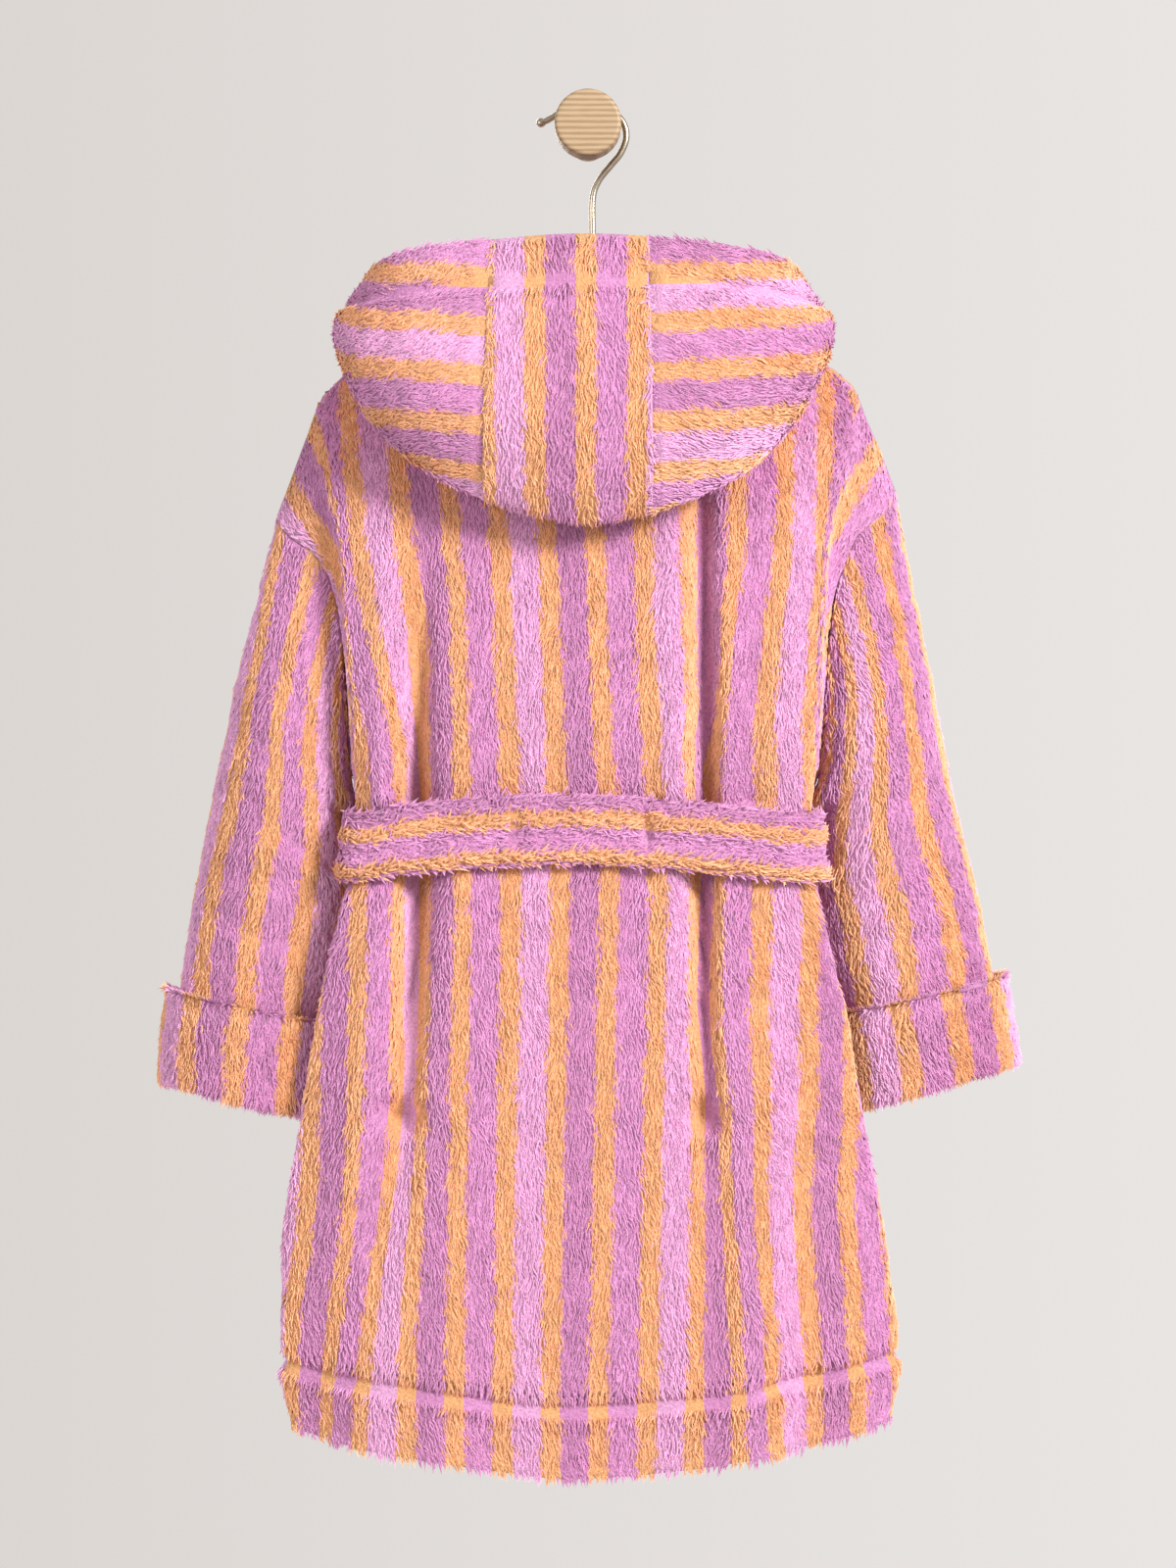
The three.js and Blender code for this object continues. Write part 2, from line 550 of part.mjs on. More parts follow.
// Its first rows take over the neck edge's own direction.
const NECK_SHARE = [1, 0.6];
const hoodNormals = gridNormals(hoodGrid).map((row, i) => row.map((n, j) => (
  n.negate().lerp(neckNormal(neckline[j]), NECK_SHARE[i] ?? 0).normalize()
)));
hoodGrid[0] = hoodGrid[0].map((p, j) => {
  const last = neckline.length - 1;
  const along = neckline[Math.min(last, j + 1)].clone().sub(neckline[Math.max(0, j - 1)]);
  return p.addScaledVector(hoodNormals[0][j].clone().cross(along).normalize(), GAP);
});

// A panel of the hood between two columns, drawn in by half a gap at each seam with another panel.
function hoodPanel(name, from, to, material) {
  const inner = moved(hoodGrid, hoodNormals, () => -WALL);
  const cut = (grid) => grid.map((row) => {
    const part = row.slice(from, to + 1).map((p) => p.clone());
    const along = (j) => row[j + 1].clone().sub(row[j - 1]).normalize();
    if (from > 0) part[0].addScaledVector(along(from), GAP / 2);
    if (to < row.length - 1) part[part.length - 1].addScaledVector(along(to), -GAP / 2);
    return part.reverse();
  });
  sheetMesh(name, cut(hoodGrid), cut(inner), material);
}
hoodPanel('hood_left', 0, neckMiddle - HOOD_PANEL_SEAM, LILAC);
hoodPanel('hood_centre', neckMiddle - HOOD_PANEL_SEAM, neckMiddle + HOOD_PANEL_SEAM, ORANGE);
hoodPanel('hood_right', neckMiddle + HOOD_PANEL_SEAM, neckline.length - 1, LILAC);

// ---------------------------------------------------------------- belt

const BELT_CLEARANCE = 0.8;
const KNOT = { x: 19.5, y: 9.2, z: 23, middleY: -12.8, middleZ: -441 };
const BELT_END_U = 0.24; // how far from the middle of the front the belt meets its knot
// Rows across the belt: share of half its width, and how far its two faces stand off at that row.
const BELT_PROFILE = table(['height', 'outer', 'inner'], [
  [1, 0.5, 0.22],
  [0.8, 0.9, 0.02],
  [0, 1, 0],
  [-0.8, 0.9, 0.02],
  [-1, 0.5, 0.22],
]);

// The body's level at a height.
function levelAt(z) {
  let [above, below] = [0, BODY.length - 1];
  for (let k = 0; k < 24; k++) {
    const half = (above + below) / 2;
    if (at(BODY, 'z', half) > z) above = half;
    else below = half;
  }
  return above;
}

// The belt's middle is highest at the back, where it is tacked on, and lowest at the knot.
const BELT_TACK = { x: -15, z: -427 };
const BELT_SAG = 13;
const BELT_SIDE_Z = -438;
function beltHeight(x, front) {
  const off = Math.abs(x);
  if (front) return mix(BELT_SIDE_Z, KNOT.middleZ, smooth((120 - off) / 60));
  const sag = BELT_SAG * Math.min(1, Math.abs(x - BELT_TACK.x) / 150) ** 1.6;
  return mix(BELT_TACK.z - sag, BELT_SIDE_Z, smooth((off - 110) / 30));
}

// At the front it lies on the right front, and is lifted onto it over the left one.
const beltLift = (x) => lapLift(x, WAIST) * smooth((x + 100) / 34);

// A point of the belt's inner face: on the ridges of the body under it, and over its troughs.
function beltSeat(u, front, share) {
  const { x } = bodyPoint(u, WAIST, front);
  const p = bodyPoint(u, levelAt(beltHeight(x, front) + (share * BELT_WIDTH) / 2), front);
  const trough = Math.max(0, foldDepth(front ? FRONT_FOLDS : BACK_FOLDS, p.x, p.z));
  p.y += front ? trough + beltLift(p.x) : -trough;
  return p;
}

const beltColumns = [];
const BELT_FRONT_U = 1.5; // where it lies on the front again past the side seam
const beltEndU = 4 - BELT_END_U;
const onFront = frontColumns(WAIST, true).filter((u) => u >= BELT_FRONT_U && u < beltEndU - 0.1);
[beltEndU, ...onFront.reverse()].forEach((u) => beltColumns.push([u, true]));
ACROSS_BACK.forEach((u) => beltColumns.push([u, false]));
[...onFront.reverse(), beltEndU].forEach((u) => beltColumns.push([8 - u, true]));

const beltSeats = BELT_PROFILE.map(({ height }) => (
  beltColumns.map(([u, front]) => beltSeat(u, front, height))
));
const beltNormals = gridNormals(beltSeats);
const beltFace = (name) => beltSeats.map((row, i) => row.map((p, j) => (
  p.clone().addScaledVector(beltNormals[i][j], BELT_CLEARANCE + BELT_PROFILE[i][name] * BELT_THICKNESS)
)));
sheetMesh('belt', beltFace('outer'), beltFace('inner'), ORANGE);

const knot = new THREE.Mesh(new THREE.SphereGeometry(1, 16, 10), PINK);
knot.geometry.scale(KNOT.x, KNOT.y, KNOT.z);
knot.position.set(0, KNOT.middleY, KNOT.middleZ);
knot.name = 'belt_knot';
gown.add(knot);

// A loose end of the belt, flat on the right front. One row for each level of its hang.
const TAIL_COLUMNS = ['z', 'x', 'halfWidth', 'thickness'];
const TAILS = {
  left: table(TAIL_COLUMNS, [
    [-466, -9, 7, 8], // out of the knot
    [-500, -18, 17, 7], // spreading
    [-560, -24, 21, 6.5], // full width
    [-688, -30, 22, 6], // end
  ]),
  right: table(TAIL_COLUMNS, [
    [-466, 9, 7, 8],
    [-500, 18, 17, 7],
    [-560, 25, 21, 6.5],
    [-664, 32, 22, 6],
  ]),
};
const TAIL_ACROSS = [-1, -0.6, 0, 0.6, 1];
function beltTail(side) {
  const down = steps([2, 2, 4]);
  const seat = down.map((t) => TAIL_ACROSS.map((share) => {
    const x = at(TAILS[side], 'x', t) + share * at(TAILS[side], 'halfWidth', t);
    const v = levelAt(at(TAILS[side], 'z', t));
    const flatX = Math.abs(at(BODY, 'ridgeL', v)) * at(BODY, 'flat', v);
    const p = bodyPoint(4 + x / flatX, v, true);
    p.y += wallAt(v) + LAP_CLEARANCE + BELT_CLEARANCE;
    return p;
  }));
  const puff = (t, share) => at(TAILS[side], 'thickness', t) * (1 - 0.45 * share ** 4);
  const outer = seat.map((row, i) => row.map((p, j) => (
    p.clone().setY(p.y + puff(down[i], TAIL_ACROSS[j]))
  )));
  const order = (grid) => grid.map((row) => [...row].reverse());
  sheetMesh(`belt_tail_${side}`, order(outer), order(seat), LILAC);
}
beltTail('left');
beltTail('right');

// ---------------------------------------------------------------- hanger

const HUB_TOP = -86;
const HUB_HALF_WIDTH = 11;
const HUB_FOOT = 17; // half width where the hub runs into the arms
const BAR_TOP = -99; // where the two arms would meet
const BAR_SLOPE = 0.465;
const BAR_END = 146; // half the bar's length
const BAR_ROUND = 7; // rounding of its ends
const BAR_HEIGHT = 15;
const BAR_MIDDLE_HEIGHT = 23;
const BAR_BEND = 40; // half width of the bend under the middle
const BAR_THICKNESS = 5;

const barTop = (x) => BAR_TOP - BAR_SLOPE * Math.abs(x);
const barUnder = (x) => barTop(x) - BAR_HEIGHT;
const endMiddle = barTop(BAR_END) - BAR_HEIGHT / 2;
const roundFrom = BAR_END - BAR_ROUND;
const bar = new THREE.Shape();
bar.moveTo(-HUB_HALF_WIDTH, HUB_TOP);
bar.lineTo(HUB_HALF_WIDTH, HUB_TOP);
bar.lineTo(HUB_FOOT, barTop(HUB_FOOT));
bar.lineTo(roundFrom, barTop(roundFrom));
bar.quadraticCurveTo(BAR_END, barTop(BAR_END), BAR_END, endMiddle);
bar.quadraticCurveTo(BAR_END, barUnder(BAR_END), roundFrom, barUnder(roundFrom));
bar.quadraticCurveTo(BAR_BEND, barUnder(BAR_BEND), 0, BAR_TOP - BAR_MIDDLE_HEIGHT);
bar.quadraticCurveTo(-BAR_BEND, barUnder(BAR_BEND), -roundFrom, barUnder(roundFrom));
bar.quadraticCurveTo(-BAR_END, barUnder(BAR_END), -BAR_END, endMiddle);
bar.quadraticCurveTo(-BAR_END, barTop(BAR_END), -roundFrom, barTop(roundFrom));
bar.lineTo(-HUB_FOOT, barTop(HUB_FOOT));
const hangerBar = new THREE.Mesh(
  new THREE.ExtrudeGeometry(bar, { depth: BAR_THICKNESS, bevelEnabled: false, curveSegments: 8 }),
  BEECH,
);
hangerBar.rotation.x = Math.PI / 2;
hangerBar.position.y = SEAM_Y + BAR_THICKNESS / 2;
hangerBar.name = 'hanger_bar';
gown.add(hangerBar);

// The wire hook: up from the hub, over the peg's stem, and out to a small ball at its tip. Each row of
// the path is a point of the wire's middle in the hanger's plane.
const HOOK_PATH = table(['x', 'z'], [
  [2.7, HUB_TOP + GAP], [2.7, -62], [2.9, -42], [6.5, -31.5], [14, -22], [20, -14.5], [23.4, -5],
  [21.6, 4], [15, 11], [6, 14.1], [-3, 14.2], [-11, 12.6], [-18.6, 9.4], [-25, 5.6], [-31.5, 3.2],
]);
const HOOK_BALL_RADIUS = 2.9;
const HOOK_TIP_RADIUS = 0.6; // of the ball's last ring
const HOOK_SIDES = 8;
const HOOK_STEPS = 50;

// A rod round a curve that lies in an upright plane, closed at both ends.
function rod(name, curve, radiusAt, sides, count, material) {
  const across = vector(0, 1, 0);
  const rings = [];
  for (let i = 0; i <= count; i++) {
    const t = i / count;
    const middle = curve.getPoint(t);
    const other = across.clone().cross(curve.getTangent(t));
    const radius = radiusAt(t * curve.getLength(), curve.getLength());
    rings.push(Array.from({ length: sides }, (_, k) => {
      const angle = (2 * Math.PI * k) / sides;
      return middle.clone().addScaledVector(across, radius * Math.cos(angle))
        .addScaledVector(other, radius * Math.sin(angle));
    }));
  }
  const points = rings.flat();
  const start = points.push(curve.getPoint(0)) - 1;
  const end = points.push(curve.getPoint(1)) - 1;
  const faces = [];
  for (let k = 0; k < sides; k++) {
    const next = (k + 1) % sides;
    for (let i = 0; i < count; i++) {
      const [a, b] = [i * sides + k, i * sides + next];
      faces.push(a, b + sides, b, a, a + sides, b + sides);
    }
    faces.push(start, k, next, end, count * sides + next, count * sides + k);
  }
  addMesh(name, points, faces, material);
}

// The wire's radius along its length: even, then swelling into the ball.
function wireRadius(run, length) {
  const fromBall = run - (length - HOOK_BALL_RADIUS);
  const ball = Math.sqrt(Math.max(0, HOOK_BALL_RADIUS ** 2 - fromBall ** 2));
  return Math.max(fromBall < 0 ? WIRE_RADIUS : HOOK_TIP_RADIUS, ball);
}
const hookPoints = HOOK_PATH.map(({ x, z }) => vector(x, SEAM_Y, z));
const hookCurve = new THREE.CatmullRomCurve3(hookPoints, false, 'centripetal');
rod('hanger_hook', hookCurve, wireRadius, HOOK_SIDES, HOOK_STEPS, STEEL);

// ---------------------------------------------------------------- peg

const knobBack = PEG_LENGTH - PEG_KNOB_LENGTH;
const PEG_EDGE = 2; // rounding of the knob's rims
const pegOutline = [[0, PEG_LENGTH], [PEG_KNOB_RADIUS - PEG_EDGE, PEG_LENGTH]];
for (const turn of [0.25, 0.5, 0.75, 1]) {
  const angle = (turn * Math.PI) / 2;
  pegOutline.push([
    PEG_KNOB_RADIUS - PEG_EDGE + PEG_EDGE * Math.sin(angle),
    PEG_LENGTH - PEG_EDGE + PEG_EDGE * Math.cos(angle),
  ]);
}
pegOutline.push(
  [PEG_KNOB_RADIUS, knobBack + PEG_EDGE],
  [PEG_KNOB_RADIUS - PEG_EDGE, knobBack],
  [PEG_STEM_RADIUS, knobBack],
  [PEG_STEM_RADIUS, 0],
  [0, 0],
);
const PEG_SEGMENTS = 36;
const peg = new THREE.Mesh(
  new THREE.LatheGeometry(pegOutline.map(([r, out]) => new THREE.Vector2(r, -out)), PEG_SEGMENTS),
  BEECH,
);
peg.name = 'peg';
gown.add(peg);

export default gown;
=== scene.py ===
import math

import bpy
import numpy as np
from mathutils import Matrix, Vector


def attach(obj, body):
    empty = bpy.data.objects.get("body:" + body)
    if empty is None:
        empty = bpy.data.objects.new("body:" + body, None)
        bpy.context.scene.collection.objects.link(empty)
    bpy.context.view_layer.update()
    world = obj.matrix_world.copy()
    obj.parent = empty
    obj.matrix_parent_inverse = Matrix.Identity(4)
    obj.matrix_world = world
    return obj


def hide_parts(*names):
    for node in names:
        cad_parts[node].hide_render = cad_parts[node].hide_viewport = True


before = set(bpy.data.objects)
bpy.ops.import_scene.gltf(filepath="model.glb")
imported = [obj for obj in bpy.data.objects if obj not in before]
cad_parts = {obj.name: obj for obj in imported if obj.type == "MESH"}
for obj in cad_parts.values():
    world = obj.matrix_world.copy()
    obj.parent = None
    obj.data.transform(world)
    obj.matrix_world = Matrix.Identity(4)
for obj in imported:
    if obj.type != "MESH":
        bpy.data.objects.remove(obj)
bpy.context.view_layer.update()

# ------------------------------------------------------------------ wall peg
# A peg of oiled beech, turned on a lathe: a flat round knob on a thinner stem that is let into the wall.
# The knob's face is side grain, so that long, slightly arched lines run across it.

MM = 0.001


def linear(code):
    """The linear colour of an sRGB hex colour, with an alpha of 1."""
    part = np.array([int(code[i:i + 2], 16) / 255 for i in (1, 3, 5)])
    return (*np.where(part <= 0.04045, part / 12.92, ((part + 0.055) / 1.055) ** 2.4), 1.0)


def node(tree, kind, sockets=None, **settings):
    """A new node with its settings. Each socket, by name or number, takes a value or another's output."""
    made = tree.nodes.new(kind)
    for name, value in settings.items():
        setattr(made, name, value)
    for key, value in (sockets or {}).items():
        if isinstance(value, bpy.types.NodeSocket):
            tree.links.new(value, made.inputs[key])
        else:
            made.inputs[key].default_value = value
    return made


def stops(ramp, places, kind="LINEAR"):
    """Gives a colour ramp its (place, hex colour) stops, and returns its colour."""
    band = ramp.color_ramp
    band.interpolation = kind
    while len(band.elements) < len(places):
        band.elements.new(0.5)
    for element, (place, code) in zip(band.elements, places):
        element.position = place
        element.color = linear(code)
    return ramp.outputs["Color"]


def finish_of(name, **sockets):
    """A new material, its node tree and its shader, whose sockets are set by name."""
    made = bpy.data.materials.new(name)
    made.use_nodes = True
    shader = made.node_tree.nodes["Principled BSDF"]
    for key, value in sockets.items():
        shader.inputs[key.replace("_", " ")].default_value = value
    return made, made.node_tree, shader


def build(name, points, faces, material, uv=None, normals=None, **fields):
    """A smooth mesh in metres from points in mm. faces is an array of corners, uv a place for each corner
    in the bake's map, normals a direction for each face, and each field a value for each point."""
    mesh = bpy.data.meshes.new(name)
    count, corners = faces.shape
    mesh.vertices.add(len(points))
    mesh.vertices.foreach_set("co", (points * MM).astype(np.float32).ravel())
    mesh.loops.add(count * corners)
    mesh.loops.foreach_set("vertex_index", faces.astype(np.int32).ravel())
    mesh.polygons.add(count)
    mesh.polygons.foreach_set("loop_start", (np.arange(count) * corners).astype(np.int32))
    mesh.update(calc_edges=True)
    mesh.shade_smooth()
    for key, values in fields.items():
        mesh.attributes.new(key, "FLOAT", "POINT").data.foreach_set(
            "value", values.astype(np.float32).ravel())
    if uv is not None:
        mesh.uv_layers.new(name="OFBake").data.foreach_set("uv", uv.astype(np.float32).ravel())
    if normals is not None:
        mesh.attributes.new("custom_normal", "FLOAT_VECTOR", "FACE").data.foreach_set(
            "vector", normals.astype(np.float32).ravel())
    mesh.materials.append(material)
    piece = bpy.data.objects.new(name, mesh)
    bpy.context.scene.collection.objects.link(piece)
    return piece


def beech(name, grain, dark, light):
    """Oiled beech: lines a grain's width apart in mm that wander along X, and short darker flecks."""
    made, tree, shader = finish_of(name, Roughness=0.5)
    place = node(tree, "ShaderNodeTexCoord").outputs["Object"]
    along = node(tree, "ShaderNodeMapping", {0: place, "Scale": (0.12, 1, 1)}).outputs[0]
    turns = 2 * math.pi / (20 * grain * MM)  # a band texture of scale 1 has 20 / 2 pi lines in a metre
    lines = node(tree, "ShaderNodeTexWave", {
        "Vector": along, "Scale": turns, "Distortion": 3.2, "Detail": 2, "Detail Scale": 0.6,
    }, bands_direction="Z").outputs["Fac"]
    flecks = node(tree, "ShaderNodeTexNoise", {"Vector": along, "Scale": 900, "Detail": 2}).outputs["Fac"]
    both = node(tree, "ShaderNodeMix", {0: 0.45, 2: lines, 3: flecks}).outputs[0]
    ramp = node(tree, "ShaderNodeValToRGB", {0: both})
    tree.links.new(stops(ramp, [(0.25, dark), (0.7, light)]), shader.inputs["Base Color"])
    bump = node(tree, "ShaderNodeBump", {"Height": both, "Strength": 0.25, "Distance": 0.0002})
    tree.links.new(bump.outputs[0], shader.inputs["Normal"])
    return made


KNOB_RADIUS, KNOB_FRONT, KNOB_BACK, KNOB_EDGE, STEM_RADIUS = 20.2, 84, 60, 2.4, 12
PEG_SEGMENTS = 96


def turned(profile, segments):
    """The points and triangles of a profile of (radius, distance) carried round the Y axis towards -Y,
    from one point on the axis to the other."""
    radius, out = np.array(profile).T
    turn = np.linspace(0, 2 * np.pi, segments, endpoint=False)
    ring = np.stack([
        radius[1:-1, None] * np.cos(turn),
        np.broadcast_to(-out[1:-1, None], (len(out) - 2, segments)),
        radius[1:-1, None] * np.sin(turn),
    ], axis=-1).reshape(-1, 3)
    points = np.vstack([ring, [0, -out[0], 0], [0, -out[-1], 0]])
    first = np.arange(segments)
    after = (first + 1) % segments
    rows = (np.arange(len(out) - 3) * segments)[:, None]
    a, b = (rows + first).ravel(), (rows + after).ravel()
    c, d = b + segments, a + segments
    last = (len(out) - 3) * segments
    tip, end = len(points) - 2, len(points) - 1
    faces = np.vstack([
        np.stack([a, c, b], 1), np.stack([a, d, c], 1),
        np.stack([np.full(segments, tip), first, after], 1),
        np.stack([np.full(segments, end), after + last, first + last], 1),
    ])
    return points, faces


rim = np.linspace(0, np.pi / 2, 7)
fall, rise = KNOB_EDGE * (1 - np.sin(rim)), KNOB_EDGE * (1 - np.cos(rim))
front_rim = np.stack([KNOB_RADIUS - fall, KNOB_FRONT - rise], 1)
back_rim = np.stack([KNOB_RADIUS - rise, KNOB_BACK + fall], 1)
knob_face = [(r, KNOB_FRONT) for r in (6, 12, 17)]
stem = [(STEM_RADIUS + 0.6, KNOB_BACK), (STEM_RADIUS, KNOB_BACK - 0.6), (STEM_RADIUS, 30), (STEM_RADIUS, 0.4)]
foot = [(STEM_RADIUS - 0.4, 0), (6, 0), (0, 0)]
peg_profile = [(0, KNOB_FRONT), *knob_face, *front_rim, *back_rim, *stem, *foot]
peg = build("wall_peg", *turned(peg_profile, PEG_SEGMENTS), beech("beech_oiled", 3.4, "#a28462", "#c1a684"))
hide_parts("peg")
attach(peg, "root")

# ------------------------------------------------------------------ hanger
# A flat sawn beech bar with two sloping arms, and a hook of 4 mm steel wire, nickel plated and drawn up
# into a small ball at its tip. The wire is let into the hub and hangs on the peg's stem.

SEAM_Y = -52  # the plane of the hanger, the shoulder seams and the side seams
WIRE_RADIUS, BALL_RADIUS, TIP_RADIUS = 2.0, 2.9, 0.5
HOOK = np.array([
    [2.7, -85.7], [2.7, -62], [2.9, -42], [6.5, -31.5], [14, -22], [20, -14.5], [23.4, -5], [21.6, 4],
    [15, 11], [6, 14.1], [-3, 14.2], [-11, 12.6], [-18.6, 9.4], [-25, 5.6], [-31.5, 3.2],
])


def through(points, u):
    """The Catmull-Rom curve through points at u = 0, 1, 2 ... Each row of points (n, k, 3) has its own u
    in (n, m): half the sum of the four points beside u, each times a cubic of the part past the whole."""
    last = points.shape[1] - 1
    run = np.concatenate([
        2 * points[:, :1] - points[:, 1:2], points, 2 * points[:, -1:] - points[:, -2:-1],
    ], axis=1)
    i = np.clip(np.floor(u).astype(int), 0, last - 1)
    t = (u - i)[..., None]
    a, b, c, d = (np.take_along_axis(run, (i + k)[..., None], axis=1) for k in range(4))
    return (a * (-t ** 3 + 2 * t ** 2 - t) + b * (3 * t ** 3 - 5 * t ** 2 + 2)
            + c * (-3 * t ** 3 + 4 * t ** 2 + t) + d * (t ** 3 - t ** 2)) / 2


def rod(path, radius, sides):
    """A rod round a path in the hanger's plane: a ring of points at each place, turned square to the
    path, and a point at each end."""
    ahead = np.gradient(path, axis=0)
    ahead /= np.linalg.norm(ahead, axis=1)[:, None]
    across = np.array([0.0, 1.0, 0.0])
    other = np.cross(across, ahead)
    turn = np.linspace(0, 2 * np.pi, sides, endpoint=False)
    ring = (path[:, None] + radius[:, None, None] * (
        np.cos(turn)[None, :, None] * across + np.sin(turn)[None, :, None] * other[:, None]))
    points = np.vstack([ring.reshape(-1, 3), path[0], path[-1]])
    k = np.arange(sides)
    n = (k + 1) % sides
    rows = (np.arange(len(path) - 1) * sides)[:, None]
    a, b = (rows + k).ravel(), (rows + n).ravel()
    last = (len(path) - 1) * sides
    faces = np.vstack([
        np.stack([a, b + sides, b], 1), np.stack([a, a + sides, b + sides], 1),
        np.stack([np.full(sides, len(points) - 2), k, n], 1),
        np.stack([np.full(sides, len(points) - 1), n + last, k + last], 1),
    ])
    return points, faces


hook_knots = np.stack([HOOK[:, 0], np.full(len(HOOK), SEAM_Y), HOOK[:, 1]], 1)[None]
hook_path = through(hook_knots, np.linspace(0, len(HOOK) - 1, 240)[None])[0]
hook_run = np.concatenate([[0], np.cumsum(np.linalg.norm(np.diff(hook_path, axis=0), axis=1))])
from_ball = hook_run - (hook_run[-1] - BALL_RADIUS)
ball = np.sqrt(np.maximum(0, BALL_RADIUS ** 2 - from_ball ** 2))
hook_radius = np.maximum(np.where(from_ball < 0, WIRE_RADIUS, TIP_RADIUS), ball)

# Nickel plate on drawn wire: a warm, slightly soft mirror with faint scuffs along it.
nickel, tree, shader = finish_of(
    "nickel_plated_wire", Base_Color=linear("#c9bda9"), Metallic=1.0, Roughness=0.24)
scuffs = node(tree, "ShaderNodeTexNoise", {
    "Vector": node(tree, "ShaderNodeTexCoord").outputs["Object"], "Scale": 420, "Detail": 3})
scuff_rough = node(tree, "ShaderNodeMapRange", {0: scuffs.outputs["Fac"], 3: 0.18, 4: 0.36})
tree.links.new(scuff_rough.outputs[0], shader.inputs["Roughness"])
hook = build("hook_wire", *rod(hook_path, hook_radius, 20), nickel)
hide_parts("hanger_hook")
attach(hook, "root")

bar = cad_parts["hanger_bar"]
bar.data.materials.clear()
bar.data.materials.append(beech("beech_sawn", 2.6, "#b08c63", "#d3b189"))

# ------------------------------------------------------------------ back
# The back is one panel of yarn-dyed long-pile polyester fleece, cut with its stripes and its nap upright.
# The shoulder, armhole and side seams bound it, and the hem is turned up 45 mm deep and stitched down.

BODY_COLUMNS = ("z", "throat", "follow", "dropL", "dropR", "edgeL", "edgeR", "edgeY", "ridgeL", "ridgeR",
                "ridgeY", "flat", "round", "backY", "frontY", "lap")
BODY = dict(zip(BODY_COLUMNS, np.array([
    [-114, 54, 1.0, -122, -107, -190, 188, -52, -150, 150, -52, 0.413, 0.0, -69, -13, -4],
    [-134, 44, 0.8, -109, -95, -187, 185, -61, -151, 150, -68, 0.49, 0.6, -79, -12, -2],
    [-164, 30, 0.55, -88, -75, -178, 176, -67, -150, 147, -82, 0.57, 0.8, -90, -11, 6],
    [-200, 16, 0.3, -62, -51, -165, 163, -70, -147, 143, -88, 0.61, 0.85, -96, -10, 20],
    [-245, 8, 0.1, -40, -36, -154, 151, -71, -144, 140, -91, 0.63, 0.85, -99, -11, 32],
    [-300, 2, 0, -24, -24, -148, 145, -70, -143, 139, -93, 0.63, 0.85, -101, -13, 42],
    [-350, 0, 0, -12, -12, -146, 143, -62, -140, 137.5, -94, 0.63, 0.85, -101, -16, 50],
    [-382, 0, 0, -2, -2, -147, 144, -52, -138, 135, -93, 0.63, 0.85, -99, -20, 55],
    [-400, 0, 0, 0, 0, -142, 139, -52, -138, 133, -91, 0.63, 0.85, -96, -24, 58],
    [-433, 0, 0, 0, 0, -136, 132, -52, -136, 131, -86, 0.63, 0.85, -91, -30, 62],
    [-480, 0, 0, 0, 0, -140, 134, -52, -148, 140, -88, 0.63, 0.85, -97, -23, 64],
    [-535, 0, 0, 2, 2, -140, 134, -52, -161, 154, -87, 0.63, 0.9, -102, -19, 65],
    [-610, 0, 0, 8, 9, -142, 138, -52, -173, 166, -87, 0.63, 0.95, -105, -18, 66],
    [-700, 0, 0, 21, 24, -156, 153, -52, -184, 180, -84, 0.63, 0.98, -107, -17, 67],
    [-774, 0, 0, 36, 42, -162, 164, -52, -184, 186, -83, 0.63, 1.0, -107, -15, 68],
    [-819, 0, 0, 38, 45, -154, 160, -52, -174, 179, -82, 0.63, 1.0, -105, -13, 68],
]).T))
UNDERARM, WAIST, HEM_STITCHING = 7, 9, 14
SHOULDER_SHAPE, HEM_SHAPE = np.array([1, 0.6, 0.3, -0.05, 0]), np.array([1, 0.85, 0.7, 0.33, 0])
SEAM_CALM = 24
# Each fold's top and bottom point, half width, and depth at its top and bottom (over 0 inwards).
BACK_FOLDS = np.array([
    [-100, -250, -104, -408, 12, 2, 15], [-118, -230, -121, -408, 14, -2, -5],
    [66, -215, 71, -410, 10, 8, 14], [53, -215, 56, -405, 14, -3, -4], [108, -260, 96, -408, 13, 2, 7],
    [-102, -456, -112, -600, 12, 13, 9], [-112, -600, -132, -720, 16, 9, 2],
    [-124, -470, -142, -640, 14, -4, -5], [68, -456, 70, -600, 9, 12, 8], [70, -600, 78, -760, 14, 8, 3],
    [99, -560, 100, -800, 20, -3, -6], [128, -560, 131, -800, 14, 3, 9], [-60, -640, -64, -810, 22, 0, 4],
    [20, -600, 24, -815, 26, 0, 3], [-158, -690, -160, -800, 14, 2, 6],
    # creases too slight for the panel's main form
    [-101, -300, -104, -412, 6, 3, 13], [69, -215, 72, -412, 4.8, 8, 10], [69, -452, 71, -640, 5, 11, 0.5],
    [-102, -452, -112, -650, 6, 13, 0.5], [-129, -300, -124, -405, 7, 0, -2.5],
    [-52, -330, -40, -412, 7, 0, 2.4], [-22, -360, -16, -412, 6, 0, 1.6], [14, -300, 22, -412, 8, 0, 2.2],
    [38, -350, 40, -412, 6, 0, 1.8], [-76, -290, -72, -412, 7, 0, -1.8], [122, -300, 116, -405, 7, 0, 2.0],
    [-44, -455, -48, -560, 7, 2.6, 0], [-14, -455, -10, -520, 6, 1.8, 0], [24, -455, 30, -590, 8, 2.4, 0],
    [48, -455, 50, -540, 7, -1.8, 0], [-78, -455, -84, -560, 7, -2.0, 0], [104, -460, 116, -600, 9, 2.6, 0],
    [-20, -700, -22, -815, 15, 0, -2.0], [58, -690, 60, -815, 13, 0, -1.8],
    [-104, -690, -110, -815, 16, 0, 2.4], [160, -620, 166, -780, 12, -1, -2.5],
])
